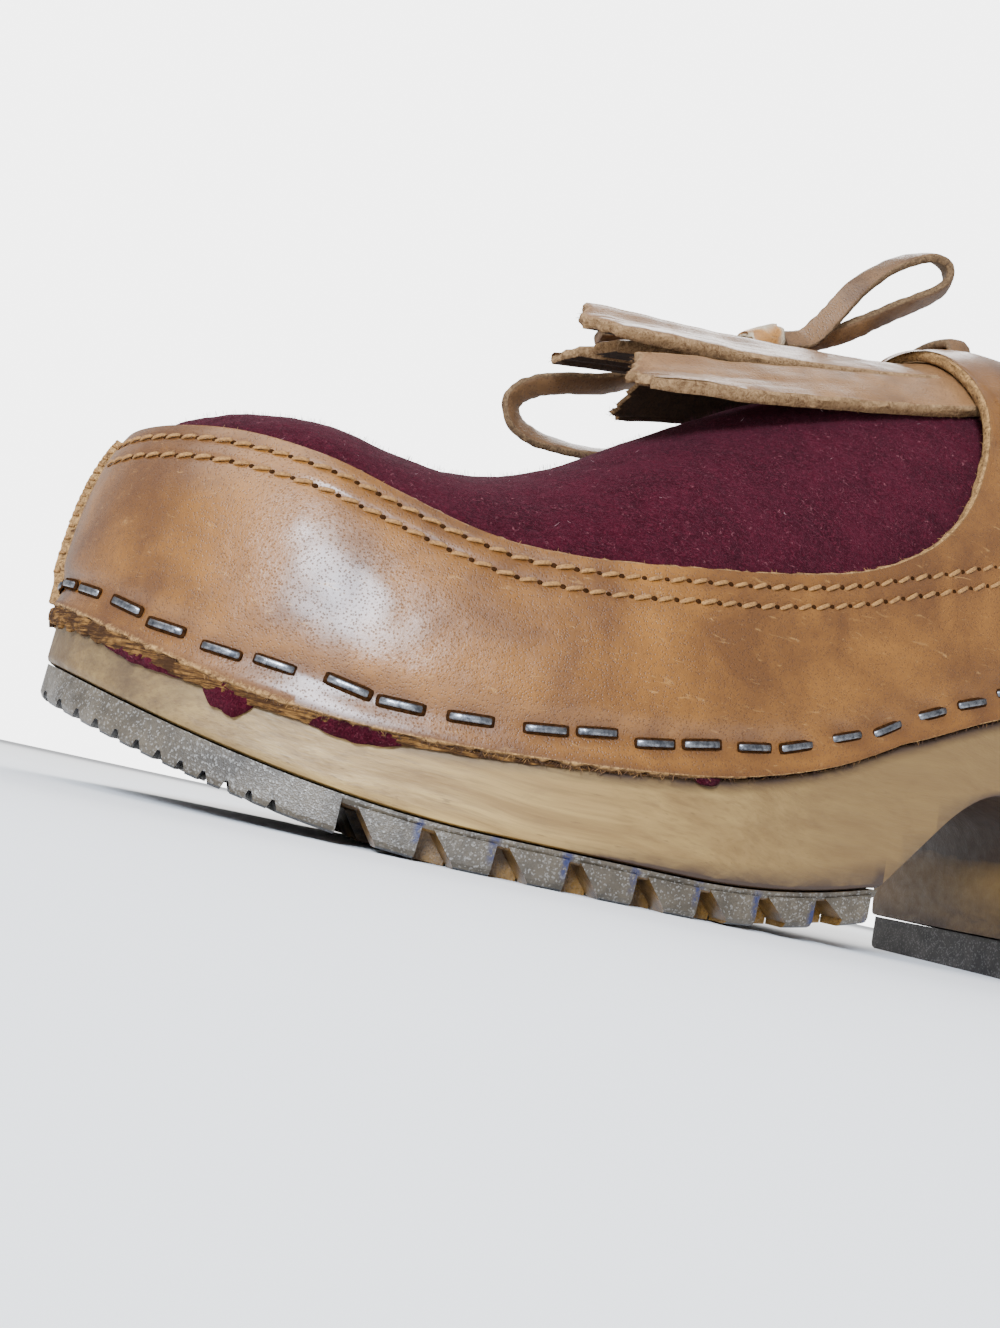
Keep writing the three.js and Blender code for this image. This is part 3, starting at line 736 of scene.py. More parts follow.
hideFinish = {  # what all hides have in common; toePatch is the size of the dark patches at the toe
    "fibres": 900.0, "tone": (0.36, 0.62), "evenness": 0.22, "poreShare": 0.55, "poreDulls": 1.7,
    "toePatch": 38.0, "patchSpan": (0.38, 0.62), "rearSpan": (-0.03, 0.06), "rearShade": 0.45,
    "scuffShare": 0.4, "dirtShare": 0.75, "soiledEdge": (1.1, 1.5), "soilShare": 0.72,
    "fleshSpan": (0.55, 0.95), "fleshFibres": 0.4, "edgeSpan": (0.62, 0.95), "edgeFibres": 0.25,
    "rawRough": 0.9, "rawHeight": 1.6, "coatRough": 0.22, "specular": 0.3, "bump": 0.00018,
}


def hideMaterial(name):
    look, common = hides[name], hideFinish
    material, tree, principled = newMaterial(name)
    grain = useGroup(tree, hideGrain, {"Mottle Scale": look["mottle"], "Pore Scale": look["pores"]})
    fibres = useGroup(tree, cutFibres, {"Scale": common["fibres"]})
    color = blendColor(tree, remap(tree, grain["Mottle"], *common["tone"]), look["dark"], look["light"])
    color = blendColor(tree, common["evenness"], color, look["light"])
    poreMask = times(tree, calculate(tree, "SUBTRACT", 1.0, grain["Pores"], True), common["poreShare"])
    color = blendColor(tree, poreMask, color, look["pore"])
    if look["toeShade"]:
        x = axesOf(tree, objectPlace(tree))["X"]
        toe = remap(tree, x, woodLow.x + 0.05, woodLow.x - 0.002)
        patch = noiseOf(tree, objectPlace(tree), common["toePatch"], 4, 0.6, 0.6)
        shade = times(tree, toe, remap(tree, patch, *common["patchSpan"]))
        color = layOver(tree, color, shade, look["toeShade"], look["dark"])
        rear = remap(tree, x, *common["rearSpan"], 0.0, common["rearShade"])
        color = blendColor(tree, rear, color, look["dark"])
    color = layOver(tree, color, grain["Scuffs"], common["scuffShare"], look["scuff"])
    # painted shade in the rand's hollows and along its foot
    color = layOver(tree, color, attributeOf(tree, "dirt"), common["dirtShare"], look["dark"])
    edge, flesh = attributeOf(tree, "edge"), remap(tree, attributeOf(tree, "flesh"), *common["fleshSpan"])
    raw = blendColor(tree, fibres["Mask"], look["edgeDark"], look["edgeLight"])
    # the raw edge at the foot darker: its own dark cut edge, with painted shade of the gap under it
    raw = layOver(tree, raw, remap(tree, edge, *common["soiledEdge"]), common["soilShare"], look["edgeDark"])
    under = layOver(tree, look["flesh"], fibres["Mask"], common["fleshFibres"], look["edgeDark"])
    color = blendColor(tree, flesh, color, under)
    ragged = calculate(tree, "ADD", edge, times(tree, fibres["Mask"], common["edgeFibres"]))
    color = blendColor(tree, remap(tree, ragged, *common["edgeSpan"]), color, raw)
    gloss = remap(tree, grain["Mottle"], 0.3, 0.7, look["rough"][1], look["rough"][0])
    dull = calculate(tree, "MAXIMUM", edge, flesh)
    broken = calculate(tree, "SUBTRACT", 1.0, times(tree, poreMask, common["poreDulls"]), True)
    setInputs(tree, principled, {
        "Base Color": color,
        "Roughness": blendValue(tree, dull, gloss, common["rawRough"]),
        "Coat Weight": times(tree, blendValue(tree, dull, look["coat"], 0.0), broken),
        "Coat Roughness": common["coatRough"],
        "Specular IOR Level": common["specular"],
    })
    rawHeight = times(tree, fibres["Height"], common["rawHeight"])
    bumpInto(tree, principled, blendValue(tree, dull, grain["Height"], rawHeight), common["bump"], 0.9)
    return material


woolFinish = {
    "dark": (0.019, 0.0008, 0.0031), "light": (0.036, 0.0018, 0.0064), "cloud": 120.0,
    "nap": (0.085, 0.01, 0.019), "napSize": 1500.0, "napSpan": (0.46, 0.66), "napShare": 0.85,
    "fleck": (0.26, 0.09, 0.1), "fleckSize": 700.0, "fleckSpan": (0.63, 0.72), "fleckShare": 0.6,
    "lump": 420.0, "lumpHeight": 1.2, "bump": 0.0007, "sheenTint": (0.75, 0.35, 0.45),
}


def feltMaterial():
    look = woolFinish
    material, tree, principled = newMaterial("woolFelt")
    place = objectPlace(tree)
    cloud = noiseOf(tree, place, look["cloud"], 4, 0.6, 0.5)
    nap = noiseOf(tree, place, look["napSize"], 6, 0.75, 1.2)
    fleck = noiseOf(tree, place, look["fleckSize"], 3, 0.7, 2.0)
    color = blendColor(tree, remap(tree, cloud, 0.35, 0.65), look["dark"], look["light"])
    color = layOver(tree, color, remap(tree, nap, *look["napSpan"]), look["napShare"], look["nap"])
    color = layOver(tree, color, remap(tree, fleck, *look["fleckSpan"]), look["fleckShare"], look["fleck"])
    setInputs(tree, principled, {
        "Base Color": color, "Roughness": 0.95, "Specular IOR Level": 0.05, "Sheen Weight": 0.05,
        "Sheen Roughness": 0.4, "Sheen Tint": look["sheenTint"],
    })
    lumps = times(tree, noiseOf(tree, place, look["lump"], 4, 0.6), look["lumpHeight"])
    bumpInto(tree, principled, calculate(tree, "ADD", nap, lumps), look["bump"], 0.9)
    return material


woodFinish = {  # each layer of the grain: scale, detail, roughness, distortion
    "rings": ((16, 420, 420), 6, 0.65, 0.3), "broad": ((6, 70, 70), 3), "fine": ((45, 1500, 1500), 3),
    "dashes": ((130, 2300, 2300), 2), "bend": (14, 14, 14), "bendUp": 0.02, "bendAcross": 0.014,
    "dark": (0.18, 0.1, 0.026), "pale": (0.35, 0.222, 0.07), "broadColor": (0.23, 0.13, 0.036),
    "fineColor": (0.12, 0.062, 0.016), "dashColor": (0.05, 0.02, 0.006), "rearShadeColor": (0.12, 0.066, 0.02),
    "toeDirt": (0.035, 0.018, 0.008), "smudge": (0.075, 0.036, 0.012), "soil": (0.03, 0.013, 0.005),
    "bump": 0.00018,
}


def woodMaterial():
    look = woodFinish
    material, tree, principled = newMaterial("woodGrain")
    bend = noiseOf(tree, objectPlace(tree, look["bend"]), 1.0, 2, 0.5)
    shift = put(tree, "ShaderNodeCombineXYZ", {"Z": times(tree, bend, look["bendUp"]),
                                               "Y": times(tree, bend, look["bendAcross"])}).outputs[0]
    base = put(tree, "ShaderNodeVectorMath", {0: objectPlace(tree), 1: shift}, operation="ADD").outputs[0]
    grain = {}
    for layer in ("rings", "broad", "fine", "dashes"):
        scale, *settings = look[layer]
        grain[layer] = noiseOf(tree, stretched(tree, base, scale), 1.0, *settings)
    color = blendColor(tree, remap(tree, grain["rings"], 0.34, 0.66), look["dark"], look["pale"])
    color = layOver(tree, color, remap(tree, grain["broad"], 0.4, 0.66), 0.35, look["broadColor"])
    color = layOver(tree, color, remap(tree, grain["fine"], 0.52, 0.66), 0.4, look["fineColor"])
    color = layOver(tree, color, remap(tree, grain["dashes"], 0.66, 0.74), 0.5, look["dashColor"])
    x = axesOf(tree, objectPlace(tree))["X"]
    # painted shade: the wood darker towards the arch and the heel
    color = blendColor(tree, remap(tree, x, -0.05, 0.02, 0.0, 0.85), color, look["rearShadeColor"])
    stain = noiseOf(tree, objectPlace(tree, (1, 1, 2.2)), 75.0, 5, 0.65, 0.8)
    toe = remap(tree, x, woodLow.x + 0.055, woodLow.x + 0.018)
    dirty = times(tree, toe, remap(tree, stain, 0.25, 0.6, 0.5, 1.0))
    color = layOver(tree, color, dirty, 0.78, look["toeDirt"])
    color = layOver(tree, color, remap(tree, stain, 0.58, 0.72), 0.3, look["smudge"])
    # painted shade under the leather's edge and on the underside, from the attribute
    shadeVariation = remap(tree, stain, 0.3, 0.55, 0.45, 1.0)
    color = layOver(tree, color, attributeOf(tree, "soil"), shadeVariation, look["soil"])
    setInputs(tree, principled, {
        "Base Color": color, "Roughness": remap(tree, grain["rings"], 0.3, 0.7, 0.62, 0.44),
    })
    height = calculate(tree, "ADD", grain["rings"], times(tree, grain["dashes"], 0.5))
    lumps = times(tree, noiseOf(tree, objectPlace(tree), 180.0, 3), 0.8)
    bumpInto(tree, principled, calculate(tree, "ADD", height, lumps), look["bump"], 0.7)
    return material


rubberLooks = {
    "rubberSide": {"low": (0.03, 0.022, 0.013), "high": (0.09, 0.07, 0.046), "glitter": 0.4, "rough": 0.4},
    # copies of the one rubber: painted warm light in the notches, painted shade on the bottom
    "rubberNotchLit": {"low": (0.04, 0.018, 0.003), "high": (0.21, 0.11, 0.026), "glitter": 0.1, "rough": 0.32},
    "rubberBottomShaded": {"low": (0.008, 0.006, 0.005), "high": (0.03, 0.024, 0.02), "glitter": 0.2,
                     "rough": 0.45},
}
rubberFinish = {
    "cloud": 150.0, "grit": 3600.0, "spark": (0.42, 0.4, 0.37), "ink": (0.012, 0.016, 0.06),
    "inkHeight": 0.0045, "inkBlots": 700.0, "bump": 0.0001,
}


# Ink marks on the lugs of the outer side, one column to a lug, as a mask
def inkMask(tree, place):
    x, y, z = (axesOf(tree, place)[axis] for axis in "XYZ")
    first = (shoe["firstLug"] + origin.x) * mm
    phase = calculate(tree, "DIVIDE", calculate(tree, "SUBTRACT", x, first), shoe["lugPitch"] * mm)
    column = remap(tree, calculate(tree, "PINGPONG", phase, 0.5), 0.1, 0.03)
    fromMiddle = calculate(tree, "ABSOLUTE", calculate(tree, "SUBTRACT", z, rubberFinish["inkHeight"]))
    level = remap(tree, fromMiddle, 0.003, 0.0012)
    outer = remap(tree, y, 0.0, -0.01)
    behind = remap(tree, x, first - 0.003, first)
    blot = remap(tree, noiseOf(tree, place, rubberFinish["inkBlots"], 4, 0.7, 1.0), 0.42, 0.56)
    ink = times(tree, times(tree, column, level), times(tree, outer, blot))
    return times(tree, ink, behind)


def rubberMaterial(name):
    look = rubberLooks[name]
    material, tree, principled = newMaterial(name)
    place = objectPlace(tree)
    cloud = noiseOf(tree, place, rubberFinish["cloud"], 4, 0.6, 0.3)
    grit = cellsOf(tree, place, rubberFinish["grit"])
    speckle = put(tree, "ShaderNodeSeparateColor", {0: grit["Color"]}).outputs
    spark = times(tree, remap(tree, speckle[0], 0.8, 0.9), look["glitter"])
    color = blendColor(tree, remap(tree, cloud, 0.35, 0.65), look["low"], look["high"])
    color = layOver(tree, color, remap(tree, speckle[1], 0.7, 0.9), 0.5, look["low"])
    color = layOver(tree, color, spark, 0.75, rubberFinish["spark"])
    if name == "rubberSide":
        color = blendColor(tree, inkMask(tree, place), color, rubberFinish["ink"])
        low = remap(tree, axesOf(tree, place)["Z"], 0.006, 0.0)
        grime = times(tree, low, remap(tree, cloud, 0.4, 0.6))
        color = layOver(tree, color, grime, 0.5, look["low"])
    setInputs(tree, principled, {
        "Base Color": color, "Metallic": times(tree, spark, 0.6),
        "Roughness": remap(tree, cloud, 0.3, 0.7, look["rough"] + 0.12, look["rough"] - 0.06),
    })
    height = calculate(tree, "ADD", times(tree, grit["Distance"], 0.6), noiseOf(tree, place, 900.0, 4))
    bumpInto(tree, principled, height, rubberFinish["bump"], 0.6)
    return material


# One clouded colour, for what is small or plain
def plainMaterial(name, low, high, scale, rough, metallic=0.0, bump=0.00005, gloss=0.5):
    material, tree, principled = newMaterial(name)
    cloud = noiseOf(tree, objectPlace(tree), scale, 4, 0.65, 0.5)
    setInputs(tree, principled, {
        "Base Color": blendColor(tree, remap(tree, cloud, 0.35, 0.65), low, high),
        "Roughness": remap(tree, cloud, 0.3, 0.7, *rough), "Metallic": metallic, "Specular IOR Level": gloss,
    })
    bumpInto(tree, principled, cloud, bump)
    return material


tornFinish = {
    "layers": (220, 220, 2600), "dark": (0.03, 0.011, 0.003), "light": (0.26, 0.125, 0.033),
    "shade": (0.035, 0.014, 0.004), "bump": 0.0006,
}


def tornMaterial():
    look = tornFinish
    material, tree, principled = newMaterial("tornEdge")
    layers = noiseOf(tree, objectPlace(tree, look["layers"]), 1.0, 4, 0.7, 0.4)
    shade = noiseOf(tree, objectPlace(tree), 260.0, 4, 0.65, 0.6)
    color = blendColor(tree, remap(tree, layers, 0.42, 0.62), look["dark"], look["light"])
    color = blendColor(tree, remap(tree, shade, 0.4, 0.62), color, look["shade"])
    setInputs(tree, principled, {"Base Color": color, "Roughness": 0.85, "Specular IOR Level": 0.15})
    bumpInto(tree, principled, layers, look["bump"])
    return material


leather, fringeHide, laceHideShaded, knotHideLit = (hideMaterial(name) for name in hides)
felt = feltMaterial()
wood = woodMaterial()
rubbers = [rubberMaterial(name) for name in rubberLooks]
tornEdge = tornMaterial()
steel = plainMaterial("steel", (0.05, 0.052, 0.06), (0.22, 0.225, 0.24), 900.0, (0.42, 0.22), 0.9)
thread = plainMaterial("thread", (0.13, 0.055, 0.012), (0.3, 0.145, 0.035), 2500.0, (0.9, 0.75), 0.0, 0.0001)
holeShade = plainMaterial(
    "holeShade", (0.012, 0.005, 0.002), (0.035, 0.014, 0.005), 1500.0, (0.95, 0.9), gloss=0.0)
paleFloor = plainMaterial("paleFloor", (0.9, 0.9, 0.9), (0.92, 0.92, 0.92), 8.0, (0.85, 0.8), 0.0, 0.0)
print("materials made")


def makeFloor(size=6.0):
    mesh = bpy.data.meshes.new("floor")
    corners = [(-size, -size, 0), (size, -size, 0), (size, size, 0), (-size, size, 0)]
    mesh.from_pydata(corners, [], [(0, 1, 2, 3)])
    mesh.materials.append(paleFloor)
    floor = newObject("floor", mesh)


makeFloor()


# Free lace: the routes of the solids, from the knot's middle
laceRoutes = {
    "laceLoopRear": [
        (4.3, -2.4, 2.2), (9, -3, 3.6), (12.5, -3.6, 8), (16, -4.2, 14), (20, -4.8, 20.5), (26, -5, 27),
        (32, -5, 31.5), (38, -5, 34), (42, -4.6, 33), (43, -4, 29.5), (40.5, -3.4, 26), (36, -2.6, 22.5),
        (30, -1.6, 18), (25, -0.6, 14), (20, 0.6, 10.4), (15, 1.6, 7.4), (10, 2.4, 5), (4.3, 2.4, 2.6),
    ],
    "laceLoopFront": [
        (-4.6, 1.6, -1.7), (-9, 5, -3.2), (-14, 9, -5.4), (-20, 12, -8.8), (-26, 13.5, -11.6),
        (-33, 14, -14.6), (-41, 14, -17), (-47, 14, -19.5), (-51, 14, -22.5), (-52.5, 14, -26),
        (-50.5, 14, -30), (-46, 14, -32), (-40, 14, -32.5), (-33, 14, -32), (-26, 14, -30.4),
        (-18, 13.2, -28), (-10, 12.2, -23.6),
    ],
    "laceEnd": [
        (-4.3, -2.9, -2), (-10, -4, -4.9), (-18, -4, -6.7), (-26, -4, -8.3), (-34, -4, -10.3),
        (-40, -4, -12.4),
    ],
}
laceTwists = {  # how the flat of the lace turns from lying level, in degrees, from one end to the other
    "laceLoopRear": [60, 75, 62, 40, 30, 25, 20, 30, 40, 30, 10],
    "laceLoopFront": [0, 5, 20, 35, 45, 50, 55, 40, 25, 20],
    "laceEnd": [0, 8, 4, 0],
}
laceNodes = {"laceLoopRear": "lace_loop_rear", "laceLoopFront": "lace_loop_front", "laceEnd": "lace_end"}


def knotCentre():
    return ridgePoint(fringeRoot - shoe["knotOffset"]) + Vector((0, 0, shoe["knotRise"]))


def smoothRoute(route, perSpan=8):
    points = [Vector(p) for p in route]
    padded = [points[0] * 2 - points[1]] + points + [points[-1] * 2 - points[-2]]
    line = []
    for k in range(1, len(padded) - 2):
        p0, p1, p2, p3 = padded[k - 1:k + 3]
        for step in range(perSpan):
            t = step / perSpan
            line.append(0.5 * (2 * p1 + (p2 - p0) * t + (2 * p0 - 5 * p1 + 4 * p2 - p3) * t**2
                               + (3 * p1 - p0 - 3 * p2 + p3) * t**3))
    line.append(points[-1])
    return line


# A flat thong along a line: rounded corners, a slightly rough cut edge, its flat turned by the twists
thongLook = {"around": 20, "rough": 0.12, "edgeStart": 0.82, "edgeRun": 0.06, "fleshBelow": 0.2}


def sweepThong(name, line, twists, width, wall, material):
    around, section = thongLook["around"], []
    for k in range(around):
        turn = 2 * math.pi * k / around
        section.append((rounded(math.cos(turn), 0.45) * width / 2, rounded(math.sin(turn), 0.6) * wall / 2))
    points, edge, flesh = [], [], []
    for i, place in enumerate(line):
        tangent = (line[min(i + 1, len(line) - 1)] - line[max(i - 1, 0)]).normalized()
        across = Vector((0, 1, 0)) - tangent * tangent.y
        across.normalize()
        share = i / (len(line) - 1) * (len(twists) - 1)
        low = min(int(share), len(twists) - 2)
        twist = twists[low] + (twists[low + 1] - twists[low]) * fade(share - low)
        across = Matrix.Rotation(math.radians(twist), 3, tangent) @ across
        up = tangent.cross(across)
        for a, b in section:
            rough = thongLook["rough"] * noise.noise(Vector((i * 0.35, a * 0.8, b * 1.3 + len(name))))
            points.append(place + across * a * (1 + rough) + up * b * (1 + rough))
            edge.append(fade((abs(a) - width / 2 * thongLook["edgeStart"]) / (width * thongLook["edgeRun"])))
            flesh.append(1.0 if b < -wall * thongLook["fleshBelow"] else 0.0)
    piece = makeObject(name, points, tubeFaces(len(line), around), material, 60)
    setAttributes(piece, edge=edge, flesh=flesh)
    recalculate(piece)
    return piece


knotLook = {  # a wrapped band: its ring, its section and the core inside, radii in x, y and z
    "turns": 48, "around": 16, "ring": (0.8, 5.2, 3.4), "back": 1.2, "halfWidth": 5.2, "halfWall": 1.15,
    "crease": 0.22, "edgeStart": 4.7, "edgeRun": 0.5, "core": (4.2, 4.3, 2.9, 1),
}


def makeKnot():
    look, centre = knotLook, knotCentre()
    turns, around = look["turns"], look["around"]
    tilt = Matrix.Rotation(-math.radians(shoe["knotTilt"]), 3, "Y")
    section = [(rounded(math.cos(t), 0.5) * look["halfWidth"], rounded(math.sin(t), 0.7) * look["halfWall"])
               for t in (2 * math.pi * j / around for j in range(around))]
    lean, high, deep = look["ring"]
    points, edge, flesh = [], [], []
    for k in range(turns):
        turn = 2 * math.pi * k / turns
        ring = Vector((lean * math.sin(turn) - look["back"], high * math.cos(turn), deep * math.sin(turn)))
        outward = Vector((0, ring.y / 5.0**2, ring.z / 3.0**2)).normalized()
        for a, b in section:
            crease = look["crease"] * noise.noise(Vector((k * 0.3, a, b)))
            offset = Vector((a * (0.9 + crease), 0, 0)) + outward * (b + crease)
            points.append(centre + tilt @ (ring + offset))
            edge.append(fade((abs(a) - look["edgeStart"]) / look["edgeRun"]))
            flesh.append(clamp(0.5 + 2 * roughness((k * 0.5, a, b), 3, 4)))
    closing = []
    for i in range(turns):
        a, b = i * around, (i + 1) % turns * around
        closing.append((a + around - 1, b + around - 1, b, a))
    piece = makeObject("laceKnot", points, gridFaces(turns, around, True) + closing, knotHideLit, 60)
    setAttributes(piece, edge=edge, flesh=flesh)
    recalculate(piece)

    def addCore(mesh):
        made = bmesh.ops.create_icosphere(mesh, subdivisions=3, radius=1)
        place = Matrix.Translation(inFrame(centre)) @ Matrix.Scale(mm, 4) @ tilt.to_4x4()
        bmesh.ops.transform(mesh, matrix=place @ Matrix.Diagonal(look["core"]), verts=made["verts"])

    editMesh(piece, addCore)
    piece.data.shade_smooth()
    return finishPiece(piece, "lace", ["lace_knot"])


def makeLace():
    knotPiece = makeKnot()
    centre = knotCentre()
    for name, route in laceRoutes.items():
        line = [centre + p for p in smoothRoute(route)]
        piece = sweepThong(name, line, laceTwists[name], shoe["laceWidth"], shoe["laceWall"], laceHideShaded)
        finishPiece(piece, "lace", [laceNodes[name]])
        path = [tuple(inFrame(p)) for p in line]
        length = sum((Vector(b) - Vector(a)).length for a, b in zip(path, path[1:]))


makeLace()
print("lace made")


# Felt vamp
feltLook = {"step": 1.6, "rows": 54, "lump": 0.25, "fineLump": 0.12, "calmRows": 5, "inside": 0.3}


def makeFelt():
    look, rows = feltLook, feltLook["rows"]
    angles = bothSides(sideAngles(look["step"]))
    points = [upperPoint(a, share) for a in angles for share in evenly(rows)]
    relief = []
    for k, p in enumerate(points):
        calm = fade((k % rows) / look["calmRows"])
        lumps = look["lump"] * roughness(p, 7) + look["fineLump"] * roughness(p, 2.2, 5)
        relief.append(calm * (lumps - look["lump"] * 0.5))
    near = [-shoe["feltWall"] + look["inside"] * abs(r) for r in relief]
    feet = [k % rows == 0 for k in range(len(points))]
    piece = shellPiece("feltVamp", points, gridFaces(len(angles), rows), near, relief, felt, feet)
    return finishPiece(piece, "felt", ["felt_vamp"])


makeFelt()
print("felt made")


# Leather rand with its rows of stitches, staples and the seam at the toe
randLook = {
    "step": 1.15, "rows": 60, "endRows": 0.72, "lump": 0.22, "fineLump": 0.08, "stitchRows": (2.6, 6.1),
    "stitchPitch": 4.0, "firstStitch": 11.0, "groove": 0.3, "grooveWidth": 0.8, "stapleHeight": 4.8,
    "dimple": 0.7, "dimpleReach": 3.6, "dimpleShape": (0.5, 0.5, 1.3), "dimpleShade": 0.75,
    "footShade": 0.8, "dirtRise": 1.6, "grooveShade": 0.2,
}
stapleGaps = [  # from one staple's middle to the next, from the toe
    6, 9, 8.8, 11, 9, 10.5, 9, 12, 8.6, 11, 12, 8.4, 10.2, 8.5, 10.5, 8.9, 10.6, 9, 10, 9, 8.8, 9.5, 9.2,
]
creases = table(  # soft troughs: station and rise of the middle, length, width, depth, tilt in degrees, side
    "x rise long wide deep tilt side",
    (82, 0.42, 34, 5, 0.5, 68, 1), (96, 0.36, 30, 6, 0.4, 74, 1), (66, 0.5, 22, 4, 0.3, 60, 1),
    (128, 0.3, 26, 7, 0.35, 35, 1), (30, 0.45, 18, 5, 0.3, 20, 1), (160, 0.35, 30, 6, 0.35, 60, 1),
    (84, 0.45, 32, 5, 0.5, -66, -1), (100, 0.4, 28, 6, 0.4, -72, -1), (140, 0.32, 26, 7, 0.35, -40, -1),
)


def creaseDepth(angle, point):
    depth = 0.0
    for crease in creases:
        if (angle > 0) != (crease["side"] > 0):
            continue
        middle = creaseMiddle(crease["x"], crease["rise"], crease["side"])
        dx, dz = point.x - middle.x, point.z - middle.z
        turn = math.radians(abs(crease["tilt"]))
        along = dx * math.cos(turn) + dz * math.sin(turn)
        across = -dx * math.sin(turn) + dz * math.cos(turn)
        across += 1.5 * math.sin(along / 7)
        wide = crease["wide"]
        swell = 0.35 * math.exp(-(((across - wide * 1.6) / wide) ** 2))
        share = math.exp(-((across / wide) ** 2)) - swell
        depth += crease["deep"] * share * fade(1.2 - abs(along) / crease["long"] * 2)
    return depth


@functools.lru_cache(maxsize=None)
def creaseMiddle(x, rise, sign):
    return upperPoint(angleAt(x) * sign, rise)


def riseBelow(angle, rise, distance):
    step = 0.01
    length = (upperPoint(angle, rise) - upperPoint(angle, rise - step)).length / step
    return rise - distance / length


def stitchRise(angle, distance):
    return riseBelow(angle, windowLow(outline(angle)[0]), distance)


def randTop(angle, rise, extra=0.0):
    base = upperPoint(angle, rise)
    height = shoe["wrapGap"] + tuckLift(angle, rise) + shoe["leatherWall"] + randRelief(angle, base)
    return base + upperNormal(angle, rise) * (height + extra)


def randRelief(angle, point):
    lumps = randLook["lump"] * roughness(point, 16, 2) + randLook["fineLump"] * roughness(point, 4, 3)
    return lumps - creaseDepth(angle, point)


# The rise at which the surface stands a height above the ledge
def riseAt(angle, height):
    _, top, power, low, _ = upperColumn(angle)
    return math.asin(clamp(height / (top.z - low)) ** (1 / power)) / (math.pi / 2)


def staplePlaces():
    places = []
    for sign in (1, -1):
        length = 0.0
        for gap in stapleGaps:
            length += gap * (1 if sign > 0 else 1.02)
            angle = angleAtArc(sign, length)
            if outline(angle)[0] > shoe["upperEnd"] - 6:
                break
            wobble = 0.5 * math.sin(length * 1.7)
            places.append((sign, angle, riseAt(angle, randLook["stapleHeight"] + wobble)))
    return places


def randAngles():
    corner, square = shoe["windowCorner"], shoe["windowSquareness"]
    extra = [angleAt(shoe["windowEnd"])]
    for share in np.linspace(0.3, 0.995, 22):  # closer columns where the window's rear corner turns
        turn = (1 - (1 - share) ** square) ** (1 / square)
        extra.append(angleAt(shoe["windowEnd"] - corner * (1 - turn)))
    kept = sorted(set(sideAngles(randLook["step"])) | set(extra))
    angles = [kept[0]]
    for a in kept[1:]:
        if a - angles[-1] > 2e-5 or a in extra:
            angles.append(a)
    return [-a for a in angles[:0:-1]] + angles


def makeRand():
    look, rows = randLook, randLook["rows"]
    angles = randAngles()
    shares = [t + (fade(t) - t) * look["endRows"] for t in evenly(rows)]
    points, near, far, marks = [], [], [], []
    for a in angles:
        top = windowRise(a)
        grooves = [stitchRise(a, d) for d in look["stitchRows"]]
        started = fade((abs(arcOf(a)) - look["firstStitch"]) / 4 + 1)
        for share in shares:
            rise = top * share
            p = upperPoint(a, rise)
            lift = tuckLift(a, rise)
            thick = shoe["leatherWall"] + randRelief(a, p) * fade(share * 14) * fade((1 - share) * 10)
            # painted shade: the hide darker at its foot by the wood, in the stitch grooves and in the staple
            # dimples
            mark = look["footShade"] * math.exp(-(((p.z - ledge(p.x)) / look["dirtRise"]) ** 2))
            for row in grooves:
                away = (p - upperPoint(a, clamp(row, 0, 1))).length
                sunk = started * math.exp(-((away / look["grooveWidth"]) ** 2))
                thick -= look["groove"] * sunk
                mark = max(mark, look["grooveShade"] * sunk)
            marks.append(mark)
            points.append(p)
            near.append(shoe["wrapGap"] + lift)
            far.append(shoe["wrapGap"] + lift + thick)
    allPoints = np.array([tuple(p) for p in points])
    farArray = np.array(far)
    for _, angle, rise in staplePlaces():
        middle = np.array(tuple(upperPoint(angle, rise)))
        away = np.linalg.norm((allPoints - middle) * np.array(look["dimpleShape"]), axis=1)
        farArray -= look["dimple"] * np.exp(-((away / look["dimpleReach"]) ** 2))
        # painted shade in each staple's dimple
        marks = np.maximum(marks, look["dimpleShade"] * np.exp(-((away / (look["dimpleReach"] * 0.8)) ** 4)))
    feet = [k % rows == 0 for k in range(len(points))]
    piece = shellPiece("leatherRand", points, gridFaces(len(angles), rows), near, farArray, leather,
                       feet, marks, rimSteps=5, bulge=0.3, fray=0.35, frayFeet=0.8)
    return finishPiece(piece, "leather", ["leather_rand"])


makeRand()
print("leather made")


